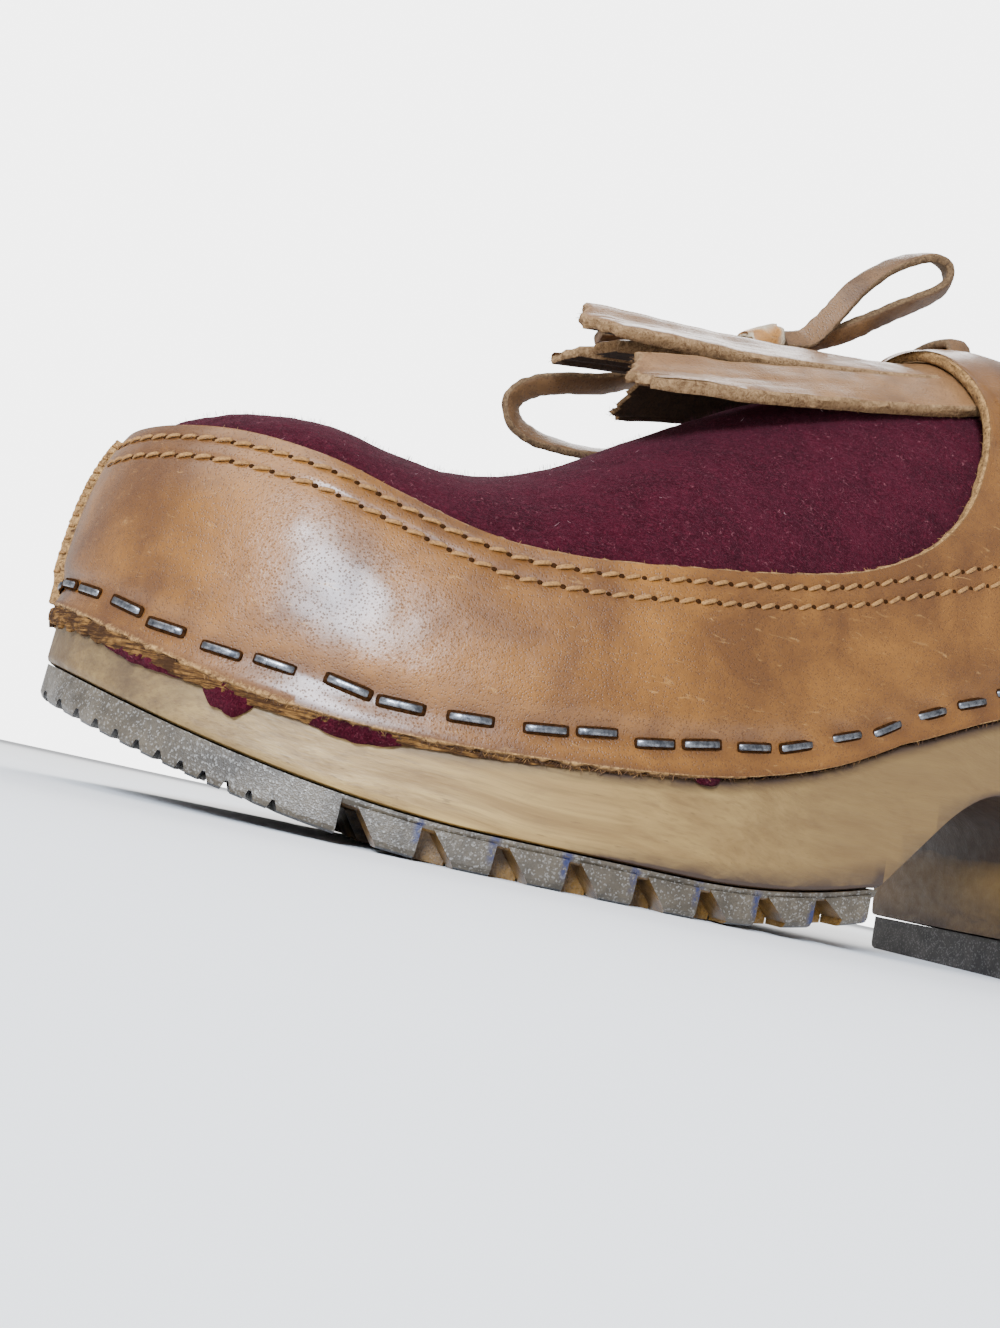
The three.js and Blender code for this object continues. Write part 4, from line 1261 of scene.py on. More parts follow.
# Repeats: a tree that sets a small shape on each marked point, turned to the point's own directions
def makeRepeatTree():
    tree = bpy.data.node_groups.new("setOnPoints", "GeometryNodeTree")
    inputs = {"Geometry": "Geometry", "Shape": "Object", "Material": "Material", "Smallest": "Float",
              "Largest": "Float", "Seed": "Int"}
    for key, kind in inputs.items():
        tree.interface.new_socket(key, in_out="INPUT", socket_type="NodeSocket" + kind)
    tree.interface.new_socket("Geometry", in_out="OUTPUT", socket_type="NodeSocketGeometry")
    given, leave = tree.nodes.new("NodeGroupInput").outputs, tree.nodes.new("NodeGroupOutput")

    def named(key):
        node = put(tree, "GeometryNodeInputNamedAttribute", {"Name": key}, data_type="FLOAT_VECTOR")
        return node.outputs[0]

    shape = put(tree, "GeometryNodeObjectInfo", {"Object": given["Shape"]}, transform_space="ORIGINAL")
    upright = put(tree, "FunctionNodeAlignRotationToVector", {"Vector": named("outward")}, axis="Z")
    turned = put(tree, "FunctionNodeAlignRotationToVector",
                 {"Rotation": upright.outputs[0], "Vector": named("along")}, axis="X", pivot_axis="Z")
    sizes = {2: given["Smallest"], 3: given["Largest"], "Seed": given["Seed"]}
    size = put(tree, "FunctionNodeRandomValue", sizes, data_type="FLOAT")
    points = put(tree, "GeometryNodeMeshToPoints", {"Mesh": given["Geometry"]})
    placed = put(tree, "GeometryNodeInstanceOnPoints", {
        "Points": points.outputs[0], "Instance": shape.outputs["Geometry"], "Rotation": turned.outputs[0],
        "Scale": size.outputs[1],
    })
    real = put(tree, "GeometryNodeRealizeInstances", {"Geometry": placed.outputs[0]})
    finish = {"Geometry": real.outputs[0], "Material": given["Material"]}
    tree.links.new(put(tree, "GeometryNodeSetMaterial", finish).outputs[0], leave.inputs[0])
    return tree


repeatTree = makeRepeatTree()


# One small closed shape in metres, its length along x and its outside at +z
def smallShape(name, path, section, sides=8):
    points = []
    for i, (x, z, scale) in enumerate(path):
        ahead, behind = path[min(i + 1, len(path) - 1)], path[max(i - 1, 0)]
        tangent = Vector((ahead[0] - behind[0], 0, ahead[1] - behind[1])).normalized()
        up = Vector((-tangent.z, 0, tangent.x))
        for k in range(sides):
            turn = 2 * math.pi * (k + 0.5) / sides
            across = rounded(math.cos(turn), 0.7) * section[0] / 2 * scale
            high = rounded(math.sin(turn), 0.7) * section[1] / 2 * scale
            points.append(Vector((x, across, z)) + up * high)
    mesh = bpy.data.meshes.new(name)
    mesh.from_pydata([tuple(p * mm) for p in points], [], tubeFaces(len(path), sides))
    mesh.update()
    mesh.shade_smooth()
    shape = newObject(name, mesh)
    recalculate(shape)
    return shape


# The second half of a path mirrors the first
def mirrored(path):
    return path + [(-x, z, scale) for x, z, scale in reversed(path) if x]


def setRepeats(name, places, shape, material, slot, smallest=0.92, largest=1.08, seed=3):
    mesh = bpy.data.meshes.new(name + "Points")
    mesh.from_pydata([tuple(inFrame(p)) for p, _, _ in places], [], [])
    for k, key in ((1, "along"), (2, "outward")):
        attribute = mesh.attributes.new(key, "FLOAT_VECTOR", "POINT")
        attribute.data.foreach_set("vector", [value for place in places for value in place[k]])
    holder = newObject(name + "Points", mesh)
    modifier = holder.modifiers.new("repeat", "NODES")
    modifier.node_group = repeatTree
    items = repeatTree.interface.items_tree
    sockets = {item.name: item.identifier for item in items if item.in_out == "INPUT"}
    settings = {"Shape": shape, "Smallest": smallest, "Largest": largest, "Seed": seed, "Material": material}
    for key, value in settings.items():
        modifier[sockets[key]] = value
    bpy.context.view_layer.update()
    made = evaluatedMesh(holder)
    bpy.data.objects.remove(holder)
    bpy.data.objects.remove(shape)
    return finishPiece(newObject(name, made), slot)


stitchLook = {  # half of each path: along, up, scale
    "path": [(-1.55, -0.5, 0.55), (-1.35, -0.14, 0.85), (-0.8, 0.06, 1.0), (0, 0.12, 1.05)],
    "size": (0.75, 0.48), "hole": [(-0.55, 0, 0.3), (-0.35, 0, 0.8), (0, 0, 1)], "holeSize": (1.0, 0.7),
    "sunk": 0.05, "holeSunk": 0.4, "slant": 15, "stagger": 1.6,
}


def makeStitches():
    look, stitches, holes = stitchLook, [], []
    for row, distance in enumerate(randLook["stitchRows"]):
        for sign in (1, -1):
            end = arcs[sign][1][-1] - 3
            length = randLook["firstStitch"] + look["stagger"] * row
            while length < end:
                angle = angleAtArc(sign, length)
                ahead = angleAtArc(sign, length + 1.0)
                place = randTop(angle, stitchRise(angle, distance), -look["sunk"])
                along = (randTop(ahead, stitchRise(ahead, distance), -look["sunk"]) - place).normalized()
                outward = upperNormal(angle, stitchRise(angle, distance))
                slant = Matrix.Rotation(math.radians(look["slant"] * sign), 3, outward)
                stitches.append((place, slant @ along, outward))
                middle = angleAtArc(sign, length + randLook["stitchPitch"] / 2)
                hole = randTop(middle, stitchRise(middle, distance), -look["holeSunk"])
                holes.append((hole, along, outward))
                length += randLook["stitchPitch"]
    shape = smallShape("stitchShape", mirrored(look["path"]), look["size"])
    setRepeats("stitches", stitches, shape, thread, "leather")
    shape = smallShape("holeShape", mirrored(look["hole"]), look["holeSize"])
    setRepeats("stitchHoles", holes, shape, holeShade, "leather")


# bed, shadowSize and shadowSunk shape a dark patch under each staple: a painted shadow round it
stapleLook = {
    "path": [(-3.4, -1.4, 0.9), (-3.36, -0.4, 1), (-3.05, 0.04, 1), (-1.5, 0.2, 1), (0, 0.24, 1)],
    "size": (1.15, 0.5), "bed": [(-3.8, -0.5, 0.3), (-3.65, -0.14, 0.85), (-3, -0.08, 1), (0, 0, 1)],
    "shadowSize": (2.0, 0.4), "proud": 0.2, "shadowSunk": 0.1, "turn": 4,
}


def makeStaples():
    look, staples = stapleLook, []
    for sign, angle, rise in staplePlaces():
        place = randTop(angle, rise, -randLook["dimple"] + look["proud"])
        ahead = randTop(angle + 0.01 * sign, rise, -randLook["dimple"])
        along = (ahead - place).normalized()
        outward = upperNormal(angle, rise)
        turn = look["turn"] * math.sin(rise * 400 + angle * 50)
        staples.append((place, Matrix.Rotation(math.radians(turn), 3, outward) @ along, outward))
    shape = smallShape("stapleShape", mirrored(look["path"]), look["size"])
    setRepeats("staples", staples, shape, steel, "leather", 0.97, 1.03)
    # a dark patch a little larger than each staple, under it: painted shadow
    shadowPlaces = [(place - outward * look["shadowSunk"], along, outward) for place, along, outward in staples]
    shape = smallShape("bedShape", mirrored(look["bed"]), look["shadowSize"])
    setRepeats("stapleBeds", shadowPlaces, shape, holeShade, "leather")


makeStitches()
makeStaples()
print("stitches and staples made")


# The butt seam at the toe: two raw edges drawn together
seamLook = {
    "rows": 70, "across": 13, "start": 0.004, "sunk": 0.9, "footSunk": 1.4, "split": 0.38, "splitWidth": 0.16,
    "stitches": 14, "stitchSize": (0.5, 0.4), "stitch": [(-1.5, -0.9, 0.8), (-1.3, 0, 1), (0, 0.25, 1)],
}


def makeToeSeam():
    look, top, half = seamLook, windowRise(0.0), shoe["seamWidth"] / 2
    rows, across = look["rows"], look["across"]
    lie = shoe["wrapGap"] + shoe["leatherWall"]
    points, foot = [], []
    for i in range(rows + 1):
        share = i / rows
        rise = top * (look["start"] + (1 - look["start"]) * share)
        base, outward = upperPoint(0.0, rise), upperNormal(0.0, rise)
        taper = fade(share * 12) * 0.25 + 0.75
        for j in range(across):
            v = -1 + 2 * j / (across - 1)
            hump = (1 - abs(v) ** 3.2) * (1 - look["split"] * math.exp(-((v / look["splitWidth"]) ** 2)))
            rough = 0.22 * roughness((i * 0.8, v * 3, 0), 1.3, 7) + 0.12 * roughness((i, v * 5, 2), 0.6, 9)
            height = lie - look["sunk"] + (shoe["seamProud"] + look["sunk"]) * hump * taper + rough * hump
            wave = 0.25 * roughness((i * 0.35, 0, 0), 2.5, 4)
            points.append(base + outward * height + Vector((0, v * half * (1 + 0.12 * rough) + wave, 0)))
        outward = upperNormal(0.0, top * share)
        foot += [base + outward * (lie - look["footSunk"]) + Vector((0, v * half, 0)) for v in (-1, 1)]
    bottom = len(points)
    points += foot
    faces = gridFaces(rows + 1, across)
    for i in range(rows):
        a, b = bottom + 2 * i, bottom + 2 * i + 2
        faces.append((i * across, a, b, (i + 1) * across))
        faces.append(((i + 1) * across + across - 1, b + 1, a + 1, i * across + across - 1))
        faces.append((a, a + 1, b + 1, b))
    faces.append((bottom, *range(across), bottom + 1))
    last = rows * across
    faces.append((bottom + 2 * rows + 1, *reversed(range(last, last + across)), bottom + 2 * rows))
    piece = makeObject("toeSeam", points, faces, leather)
    setAttributes(piece, edge=[1.0] * len(points), flesh=[0.0] * len(points))
    recalculate(piece)
    finishPiece(piece, "leather")
    places = []
    for k in range(1, look["stitches"] + 1):
        rise = top * k / (look["stitches"] + 1)
        base, outward = upperPoint(0.0, rise), upperNormal(0.0, rise)
        places.append((base + outward * (lie + shoe["seamProud"] * 0.8), Vector((0, 1, 0)), outward))
    shape = smallShape("toeStitchShape", mirrored(look["stitch"]), look["stitchSize"])
    setRepeats("toeStitches", places, shape, thread, "leather")


makeToeSeam()
print("toe seam made")


# Fringe: one root under the instep leather, slit into strips
strips = table(
    "length lift twist",
    (0.99, 15, 2), (1.03, 25, 6), (0.95, 20, 2), (1.0, 25, 3), (0.8, 15, -2), (0.72, 8, 0),
)
fringeLook = {
    "columns": 13, "rootRows": 8, "stripRows": 54, "nick": 0.55, "lean": (-0.45, 0, 0.9), "curl": 0.9,
    "edgeNoise": 0.006, "sag": 0.5, "thin": 0.25, "tipThin": 0.5, "tipFrom": 0.93,
}


def fringeStation(j, strip, tip):
    rootRows, stripRows = fringeLook["rootRows"], fringeLook["stripRows"]
    if j < rootRows:
        rootLength = shoe["fringeTuck"] + shoe["fringeBand"]
        return fringeRoot + shoe["fringeTuck"] - j / (rootRows - 1) * rootLength, 0.0
    out = (j - rootRows + 1) / stripRows
    length = shoe["fringeReach"] * strip["length"] - shoe["fringeBand"]
    return fringeRoot - shoe["fringeBand"] - out * (length + tip), out


def makeFringe():
    look, columns = fringeLook, fringeLook["columns"]
    rows = look["rootRows"] + look["stripRows"]
    slit = shoe["fringeSlit"] / (shoe["fringeSpread"] * shoe["ballWidth"])
    points, near, far = [], [], []
    for k, strip in enumerate(strips):
        low = -1 + 2 * k / len(strips) + slit / 2
        high = -1 + 2 * (k + 1) / len(strips) - slit / 2
        for c in range(columns):
            v = c / (columns - 1)
            point = shoe["fringePoint"] * (1 - abs(2 * v - 1 - 0.25 * math.sin(k * 2.1)))
            tip = point + look["nick"] * math.sin(c * 2.2 + k)
            for j in range(rows):
                station, out = fringeStation(j, strip, tip)
                place = low + (high - low) * v
                if c in (0, columns - 1):
                    place += look["edgeNoise"] * roughness((station, k * 9, c * 0.1), 2.2, 6) * out**0.3
                angle = angleAt(columnOfRidge(station)) * (1 if place < 0 else -1)
                p = upperPoint(angle, 1 - abs(place) * shoe["fringeSpread"])
                curl = look["curl"] * out**2 * ((2 * v - 1) ** 2) * math.cos(k * 1.3)
                raised = strip["lift"] * out**1.5 + curl + strip["twist"] * (v - 0.5) * out
                p = p + Vector(look["lean"]) * raised
                p.z += look["sag"] * out * roughness((station, k * 20, 0), 9, 8)
                points.append(p)
                thin = look["thin"] * roughness(p, 5, 12)
                thin -= look["tipThin"] * max(0, out - look["tipFrom"]) / (1 - look["tipFrom"])
                near.append(shoe["fitGap"])
                far.append(shoe["fitGap"] + shoe["fringeWall"] + (thin if out > 0 else 0))
    def joined(i, j):  # the strips hang together at the root alone
        return i % columns != columns - 1 or j < look["rootRows"] - 1

    faces = gridFaces(columns * len(strips), rows, False, joined)
    piece = shellPiece("leatherFringe", points, faces, near, far, fringeHide, rimSteps=4, bulge=0.2, fray=0.5)
    return finishPiece(piece, "leather", ["fringe"])


makeFringe()
print("fringe made")


# The lace's crossing on the instep leather: it comes out of one hole and goes back into the other
barLook = {"across": 41, "along": 9, "plungeFrom": 0.8, "plunge": 3.2, "rise": 0.3, "roundEdge": 0.35}


def makeBar():
    look = barLook
    places = np.linspace(-1, 1, look["across"])
    stations = np.linspace(1, 0, look["along"])
    points, near, far = [], [], []
    for place in places:
        angleSign = 1 if place < 0 else -1
        for share in stations:
            station = fringeRoot + shoe["barOffset"] + share * shoe["laceWidth"]
            angle = angleAt(columnOfRidge(station)) * angleSign
            rise = 1 - abs(place) * shoe["barSpread"]
            points.append(upperPoint(angle, rise))
            plunge = fade((abs(place) - look["plungeFrom"]) / (1 - look["plungeFrom"])) * look["plunge"]
            top = shoe["wrapGap"] + tuckLift(angle, rise) + shoe["leatherWall"] + look["rise"] - plunge
            near.append(top)
            far.append(top + shoe["laceWall"] - look["roundEdge"] * abs(share * 2 - 1) ** 4)
    faces = gridFaces(len(places), len(stations))
    piece = shellPiece("laceBar", points, faces, near, far, laceHideShaded, fray=0.12)
    return finishPiece(piece, "lace", ["lace_bar"])


makeBar()


# Loose fibres on the cut edges: short bent hairs set on the rims of the shells
fibreLooks = {  # the rim that they stand on, its foot or its top, the number, the smallest and largest
    "footFibres": {"rim": "leatherRand", "stands": True, "count": 2600, "size": (0.5, 1.3),
                   "color": "fibreDark"},
    "footGold": {"rim": "leatherRand", "stands": True, "count": 1300, "size": (0.4, 1.2),
                 "color": "fibreGold"},
    "windowFibres": {"rim": "leatherRand", "stands": False, "count": 900, "size": (0.35, 0.9),
                     "color": "fibreGold"},
    "fringeFibres": {"rim": "leatherFringe", "stands": False, "count": 1500, "size": (0.4, 1.1),
                     "color": "fibreTan"},
}
hairPath = [(0, 0, 1), (0.35, 0.05, 0.9), (0.7, 0.2, 0.7), (1, 0.45, 0.3)]
fibreMaterials = {
    "fibreDark": plainMaterial("fibreDark", (0.03, 0.012, 0.004), (0.09, 0.036, 0.01), 900.0, (0.9, 0.75)),
    "fibreGold": plainMaterial("fibreGold", (0.14, 0.062, 0.015), (0.34, 0.17, 0.05), 900.0, (0.85, 0.7)),
    "fibreTan": plainMaterial("fibreTan", (0.08, 0.036, 0.011), (0.25, 0.125, 0.042), 900.0, (0.85, 0.7)),
}


def makeFibres():
    for number, (name, look) in enumerate(fibreLooks.items()):
        pick = random.Random(number + 11)
        rim = [entry for entry in rims[look["rim"]] if entry[3] == look["stands"]]
        if look["stands"]:
            rim = [entry for entry in rim if entry[4] > 0.4]
        places = []
        for _ in range(look["count"]):
            place, out, normal, _, _ = pick.choice(rim)
            if look["stands"] and pick.random() < 0.8 * fade((place[0] - 85) / 45):
                continue
            place, out, normal = Vector(place), Vector(out), Vector(normal)
            tangent = out.cross(normal).normalized()
            spot = place + tangent * pick.uniform(-0.6, 0.6) - out * 0.15
            along = (out * pick.uniform(0.5, 1) + tangent * pick.uniform(-1.2, 1.2)
                     + normal * pick.uniform(-0.25, 0.6)).normalized()
            outward = along.cross(tangent)
            if outward.length < 0.2:
                outward = along.cross(normal)
            places.append((spot, along, outward.normalized()))
        shape = smallShape(name + "Shape", hairPath, (0.1, 0.09), 4)
        setRepeats(name, places, shape, fibreMaterials[look["color"]], "leather", *look["size"], seed=number)


makeFibres()

fuzzLooks = {
    "feltFuzz": {"count": 3600, "size": (0.35, 0.9), "lean": 0.8, "low": (0.03, 0.0015, 0.0045),
                 "high": (0.1, 0.014, 0.026)},
    "feltLint": {"count": 150, "size": (0.3, 1.0), "lean": 6.0, "low": (0.16, 0.05, 0.06),
                 "high": (0.45, 0.3, 0.3)},
}


def makeFuzz():
    for number, (name, look) in enumerate(fuzzLooks.items()):
        pick = random.Random(number + 31)
        places = []
        while len(places) < look["count"]:
            x = pick.uniform(3, shoe["windowEnd"] - 2)
            angle = angleAt(x) * pick.choice((-1, 1))
            low = windowRise(angle)
            rise = pick.uniform(low, 1) if pick.random() < 0.5 else low + (1 - low) * pick.random() ** 0.4
            normal = upperNormal(angle, rise)
            tangent = normal.orthogonal().normalized()
            turn = Matrix.Rotation(pick.uniform(0, 2 * math.pi), 3, normal)
            along = (normal + (turn @ tangent) * look["lean"] * pick.uniform(0.4, 1)).normalized()
            outward = along.cross(turn @ normal.cross(tangent)).normalized()
            places.append((upperPoint(angle, rise) + normal * 0.05, along, outward))
        material = plainMaterial(name, look["low"], look["high"], 600.0, (0.95, 0.9))
        shape = smallShape(name + "Shape", hairPath, (0.075, 0.07), 4)
        setRepeats(name, places, shape, material, "felt", *look["size"], seed=number + 5)


makeFuzz()


# The torn lower edge of the leather round the toe, and the wool that shows below it
footRags = {  # each span: from and to along the outline from the toe's middle, top and bottom from the ledge
    "footTear": {"spans": [(-60, 135, 0.5, 3.0)], "out": 1.7, "thin": 0.0056, "ragged": 0.35,
                 "material": tornEdge, "slot": "leather"},
    "feltBits": {"spans": [(25, 53, 0.2, 3.1), (52, 62, 0.2, 4.6), (68, 87, 0.2, 2.8), (134, 139, 0.2, 1.4)],
                 "out": 1.2, "thin": 0.0, "ragged": 0.16, "material": felt, "slot": "felt"},
}


def makeFootRags(name, look, around=10):
    points, faces = [], []
    for start, end, top, bottom in look["spans"]:
        columns = int((end - start) / 0.5) + 2
        base = len(points)
        for i in range(columns):
            length = start + (end - start) * i / (columns - 1)
            angle = angleAtArc(1 if length > 0 else -1, abs(length))
            taper = math.sin(math.pi * (i + 0.15) / (columns - 0.7)) ** 0.5 * (1 - look["thin"] * abs(length))
            px, py = insetOutline(angle, 0)
            across = outlineSide(angle)
            torn = 1 + look["ragged"] * noise.noise(Vector((length * 0.45, bottom, 3.0)))
            middle, half = (top - bottom * torn) / 2, (top + bottom * torn) / 2
            for k in range(around):
                turn = 2 * math.pi * k / around
                c, s = math.cos(turn), math.sin(turn)
                rough = 1 + 0.4 * noise.noise(Vector((length * 1.1, c * 2, s * 2 + bottom)))
                out = 0.1 + (0.5 + 0.5 * c) * look["out"] * taper * rough
                rise = (middle + half * s * (0.8 + 0.2 * rough)) * taper
                points.append(Vector((px - across[0] * out, py - across[1] * out, ledge(px) + rise)))
        faces += tubeFaces(columns, around, base)
    piece = makeObject(name, points, faces, look["material"])
    recalculate(piece)
    finishPiece(piece, look["slot"])


for name, look in footRags.items():
    makeFootRags(name, look)
print("fibres, torn edge and felt bits made")


# Wood and rubber: rings round the outline, closed on a spine
def ringPoint(angle, inset, height):
    x, y = insetOutline(angle, inset)
    return Vector((x, y, height(x)))


def spinePoint(angle, height, share=1.0, inset=0.0):
    edgePlace = insetOutline(angle, inset)
    x = clamp(outline(angle)[0], shoe["spineStart"], shoe["spineEnd"])
    px = edgePlace[0] + (x - edgePlace[0]) * share
    py = edgePlace[1] * (1 - share)
    return Vector((px, py, height(px)))


def roundAngles(step):
    half = sideAngles(step, math.pi)
    return [-a for a in reversed(half[1:-1])] + half


def ringPiece(name, angles, rings):
    points = [ring(a) for a in angles for ring in rings]
    kept, _, joined = weld(points, gridFaces(len(angles), len(rings), True))
    piece = makeObject(name, kept, joined)
    recalculate(piece)
    return piece


def prismPiece(name, outlines):
    points, faces = [], []
    for corners, yLow, yHigh in outlines:
        start, n = len(points), len(corners)
        points += [Vector((x, yLow, z)) for x, z in corners] + [Vector((x, yHigh, z)) for x, z in corners]
        faces.append(tuple(start + i for i in range(n)))
        faces.append(tuple(start + n + i for i in reversed(range(n))))
        for i in range(n):
            j = (i + 1) % n
            faces.append((start + i, start + n + i, start + n + j, start + j))
    piece = makeObject(name, points, faces)

    def change(mesh):
        bmesh.ops.recalc_face_normals(mesh, faces=mesh.faces)
        bmesh.ops.triangulate(mesh, faces=mesh.faces)

    editMesh(piece, change)
    return piece


def boxPiece(name, left, right, low, high):
    reach = shoe["ballWidth"]
    return prismPiece(name, [([(left, low), (right, low), (right, high), (left, high)], -reach, reach)])


def combine(piece, other, how, keepOther=False):
    modifier = piece.modifiers.new("cut", "BOOLEAN")
    modifier.operation = how
    modifier.solver = "MANIFOLD"
    modifier.object = other
    applyModifiers(piece)
    if not keepOther:
        bpy.data.objects.remove(other)


woodLook = {
    "step": 2.6, "edgeRound": 0.9, "wallRings": (0.25, 0.5, 0.75), "wallTop": 6, "soften": 0.7,
    "softenAngle": 45, "sharpAngle": 35, "footbed": (0.12, 0.35, 0.8, 1),
}


def makeWood():
    look, curve = woodLook, woodLook["edgeRound"]
    wall, roundness, margin = shoe["rimDraft"], shoe["rimRound"], shoe["bedMargin"]
    steps = [angleAt(shoe["upperEnd"] + share * shoe["rabbetRun"]) for share in (0.98, 1.02)]
    angles = sorted(set(roundAngles(look["step"])) | set(steps) | set(-a for a in steps))

    def bottom(up):
        return lambda x: woodBottom(x) + up

    def below(drop):
        return lambda x: ledge(x) - drop

    def rim(x):
        return ledge(x) + shoe["rimRise"]

    def bed(depth):
        return lambda x: rim(x) - depth * shoe["bedDepth"] * smooth(side, "cup", x / shoe["soleLength"])

    def taper(angle):
        archLength = shoe["heelFront"] - shoe["treadEnd"]
        return shoe["heelTaper"] * fade((outline(angle)[0] - shoe["treadEnd"]) / archLength)

    def rabbet(angle, least=0.0):
        inside = outline(angle)[0] < shoe["upperEnd"] + shoe["rabbetRun"]
        return max(shoe["rabbetDepth"] if inside else 0.0, least)

    def wallHeight(share):
        top = look["wallTop"]
        return lambda x: woodBottom(x) + curve + (ledge(x) - top - woodBottom(x) - curve) * share

    def atWall(share):
        return lambda a: ringPoint(a, taper(a) * (1 - 0.85 * share), wallHeight(share))

    rings = [
        lambda a: spinePoint(a, woodBottom),
        lambda a: ringPoint(a, taper(a) + curve, woodBottom),
        lambda a: ringPoint(a, taper(a) + curve * 0.3, bottom(curve * 0.3)),
        lambda a: ringPoint(a, taper(a), bottom(curve)),
        *[atWall(share) for share in look["wallRings"]],
        lambda a: ringPoint(a, taper(a) * 0.15, below(look["wallTop"])),
        lambda a: ringPoint(a, taper(a) * 0.08, below(2.8)),
        lambda a: ringPoint(a, 0, below(0.8)),
        lambda a: ringPoint(a, 0.25, below(0.2)),
        lambda a: ringPoint(a, 0.8, ledge),
        lambda a: ringPoint(a, rabbet(a, 0.9), ledge),
        lambda a: ringPoint(a, rabbet(a, 0.9) + wall, lambda x: rim(x) - roundness),
        lambda a: ringPoint(a, rabbet(a, 0.9) + wall + roundness * 0.3, lambda x: rim(x) - roundness * 0.3),
        lambda a: ringPoint(a, rabbet(a, 0.9) + wall + roundness, rim),
        lambda a: ringPoint(a, rabbet(a) + wall + roundness + margin * 0.5, bed(look["footbed"][0])),
        lambda a: ringPoint(a, rabbet(a) + wall + roundness + margin, bed(look["footbed"][1])),
        lambda a: spinePoint(a, bed(look["footbed"][2]), 0.5, shoe["rabbetDepth"]),
        lambda a: spinePoint(a, bed(look["footbed"][3])),
    ]
    piece = ringPiece("woodSole", angles, rings)
    combine(piece, archCut(), "DIFFERENCE")
    editMesh(piece, lambda mesh: bmesh.ops.remove_doubles(mesh, verts=mesh.verts, dist=2e-6))
    bevel = piece.modifiers.new("soften", "BEVEL")
    bevel.width = look["soften"] * mm
    bevel.segments = 2
    bevel.limit_method = "ANGLE"
    bevel.angle_limit = math.radians(look["softenAngle"])
    applyModifiers(piece)
    piece.data.shade_smooth()
    piece.data.set_sharp_from_angle(angle=math.radians(look["sharpAngle"]))
    piece.data.materials.clear()
    piece.data.materials.append(wood)
    setAttributes(piece, soil=[soilAt(vertex) for vertex in piece.data.vertices])
    return finishPiece(piece, "wood", ["wood_sole"])


# The arch between the treads, rounded at its top and leaning at its front
def archCut():
    foot = woodBottom(shoe["treadEnd"])
    slope = math.tan(math.radians(shoe["archAngle"]))
    top, bend, front = shoe["archTop"], shoe["archRound"], shoe["heelFront"]
    crown = shoe["treadEnd"] + (top - foot) / slope
    corners = [(shoe["treadEnd"], -1), (shoe["treadEnd"], foot)]
    corners += curveOf((crown - bend / slope, top - bend), (crown, top), (crown + bend * 0.8, top), 12)
    corners += curveOf((crown + bend * 0.8 + 0.5, top), (front - 2, top), (front - 1, top - bend * 1.4), 14)
    corners.append((front, -1))
    return prismPiece("archCut", [(corners, -shoe["ballWidth"], shoe["ballWidth"])])


# Painted shade in the crack under the leather, and painted shade on the underside behind the lugs
def soilAt(vertex):
    place = vertex.co / mm - origin
    below = ledge(place.x) - place.z
    crack = fade(1.3 - below / 2.2) * fade((shoe["upperEnd"] - place.x) / 6) if below > -0.3 else 0.0
    under = fade((place.x - shoe["firstLug"] - 20) / 20) * fade(-vertex.normal.z * 2.2) * 2.2
    return max(crack, under)


def curveOf(start, bend, end, count):
    result = []
    for k in range(count + 1):
        t = k / count
        corners = zip(start, bend, end)
        result.append(tuple((1 - t) ** 2 * a + 2 * t * (1 - t) * b + t * t * c for a, b, c in corners))
    return result


makeWood()
print("wood made")


def treadEnvelope(name, inset, bottom, over=0.0):
    def top(x):
        return woodBottom(x) - shoe["fitGap"] + over

    def low(x):
        return rocker(x) + bottom

    bend = shoe["treadRound"]
    return ringPiece(name, roundAngles(3.2), [
        lambda a: spinePoint(a, low),
        lambda a: ringPoint(a, inset + bend, low),
        lambda a: ringPoint(a, inset + bend * 0.35, lambda x: low(x) + bend * 0.25),
        lambda a: ringPoint(a, inset, lambda x: low(x) + bend * 0.8),
        lambda a: ringPoint(a, inset, top),
        lambda a: spinePoint(a, top),
    ])


def lugOutline(corner):
    def root(x):
        return rocker(x) + shoe["treadThickness"] - shoe["treadBase"] + shoe["lugRoot"]

    heel = corner - shoe["lugFoot"]
    slope = shoe["lugSlope"]
    return [(heel, -1), (heel, rocker(corner) + 0.05), (heel - slope, root(heel - slope)),
            (corner + 0.4, root(corner + 0.4)), (corner, -1)]


def ribGroove(x):
    low, top = rocker(x), rocker(x) + shoe["ribDepth"]
    across = [(-1.1, low - 3), (1.1, low - 3), (0.9, low), (0.25, top), (-0.25, top), (-0.9, low)]
    return [(x + half, z) for half, z in across], -shoe["ballWidth"], shoe["ballWidth"]


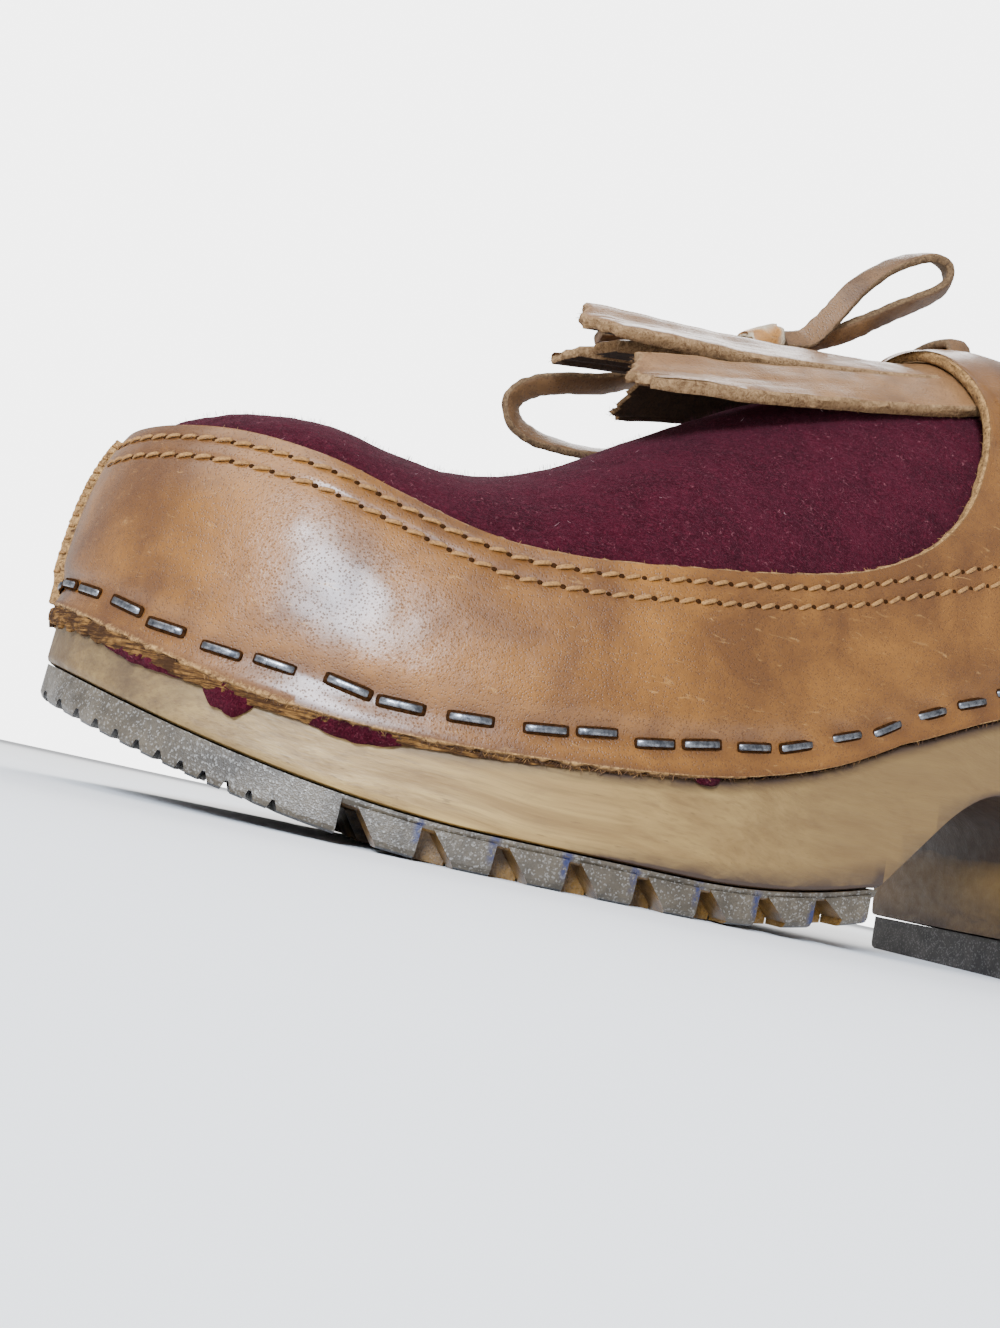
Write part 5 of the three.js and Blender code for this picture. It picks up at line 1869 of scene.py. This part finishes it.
def makeForefootTread():
    reach, width = shoe["ballWidth"], shoe["ballWidth"] / shoe["innerRows"]
    inset, bend = shoe["treadInset"], shoe["treadRound"]
    corners = [shoe["firstLug"] + k * shoe["lugPitch"] for k in range(shoe["lugCount"])]
    edgeLugs = prismPiece("edgeLugs", [(lugOutline(c), -reach, reach) for c in corners])
    blocks = []
    for row in range(shoe["innerRows"]):
        low = -reach / 2 + row * width
        shift = 0 if row % 2 else shoe["lugPitch"] / 2
        blocks += [(lugOutline(c + shift), low + 0.4, low + width - 0.4) for c in corners]
    innerLugs = prismPiece("innerLugs", blocks)
    core = treadEnvelope("core", inset + shoe["edgeRow"], -bend * 2, bend)
    edgeCore = treadEnvelope("edgeCore", inset + shoe["edgeRow"] + shoe["rowLap"], -bend * 2, bend)
    combine(edgeLugs, edgeCore, "DIFFERENCE")
    combine(innerLugs, core, "INTERSECT")
    combine(edgeLugs, innerLugs, "UNION")
    whole = treadEnvelope("whole", inset, 0)
    combine(edgeLugs, whole, "INTERSECT", True)
    ribEnd = shoe["firstLug"] - shoe["lugFoot"] - shoe["lugSlope"] - 2.6
    ribBlock = boxPiece("ribBlock", -5, ribEnd, -5, 40)
    combine(ribBlock, whole, "INTERSECT")
    tread = treadEnvelope("forefootTread", inset, shoe["treadThickness"] - shoe["treadBase"])
    combine(tread, ribBlock, "UNION")
    combine(tread, edgeLugs, "UNION")
    grooves = [ribGroove(3 + k * shoe["ribPitch"]) for k in range(shoe["ribCount"])]
    combine(tread, prismPiece("grooves", grooves), "DIFFERENCE")
    combine(tread, boxPiece("front", -9, shoe["treadEnd"], -9, 40), "INTERSECT")
    paintTread(tread)
    finishPiece(tread, "rubber", ["forefoot_tread"])


def makeHeelTread():
    inset, bend = shoe["heelTaper"] + shoe["heelTreadInset"], shoe["treadRound"]

    def top(x):
        return woodBottom(x) - shoe["fitGap"]

    heel = ringPiece("heelTread", roundAngles(2.6), [
        lambda a: spinePoint(a, lambda x: 0.0),
        lambda a: ringPoint(a, inset + bend, lambda x: 0.0),
        lambda a: ringPoint(a, inset + bend * 0.3, lambda x: bend * 0.3),
        lambda a: ringPoint(a, inset, lambda x: bend),
        lambda a: ringPoint(a, inset, top),
        lambda a: spinePoint(a, top),
    ])
    front = shoe["heelFront"] + shoe["heelTreadInset"]
    combine(heel, boxPiece("heelFront", front, shoe["soleLength"] + 9, -9, 40), "INTERSECT")
    paintTread(heel)
    finishPiece(heel, "rubber", ["heel_tread"])


# Side walls; the notches' insides in amber as painted warm light, and the bottom near black as painted shade
def paintTread(piece):
    outside, notch, bottom = range(3)
    piece.data.materials.clear()
    for material in rubbers:
        piece.data.materials.append(material)
    edgeLine = np.array([outline(float(a)) for a in np.linspace(-math.pi, math.pi, 1200)])
    for face in piece.data.polygons:
        centre = face.center / mm - origin
        away = np.min(np.hypot(edgeLine[:, 0] - centre.x, edgeLine[:, 1] - centre.y))
        if away < 1.2 or (away < 4.5 and centre.x > shoe["heelFront"] - 5):
            face.material_index = outside
        elif face.normal.z < -0.6 and centre.z < rocker(centre.x) + 1:
            face.material_index = bottom
        else:
            lugged = shoe["firstLug"] - 12 < centre.x < shoe["heelFront"] - 8
            face.material_index = notch if lugged else bottom
    piece.data.shade_smooth()
    piece.data.set_sharp_from_angle(angle=math.radians(30))


makeForefootTread()
makeHeelTread()
print("rubber made")
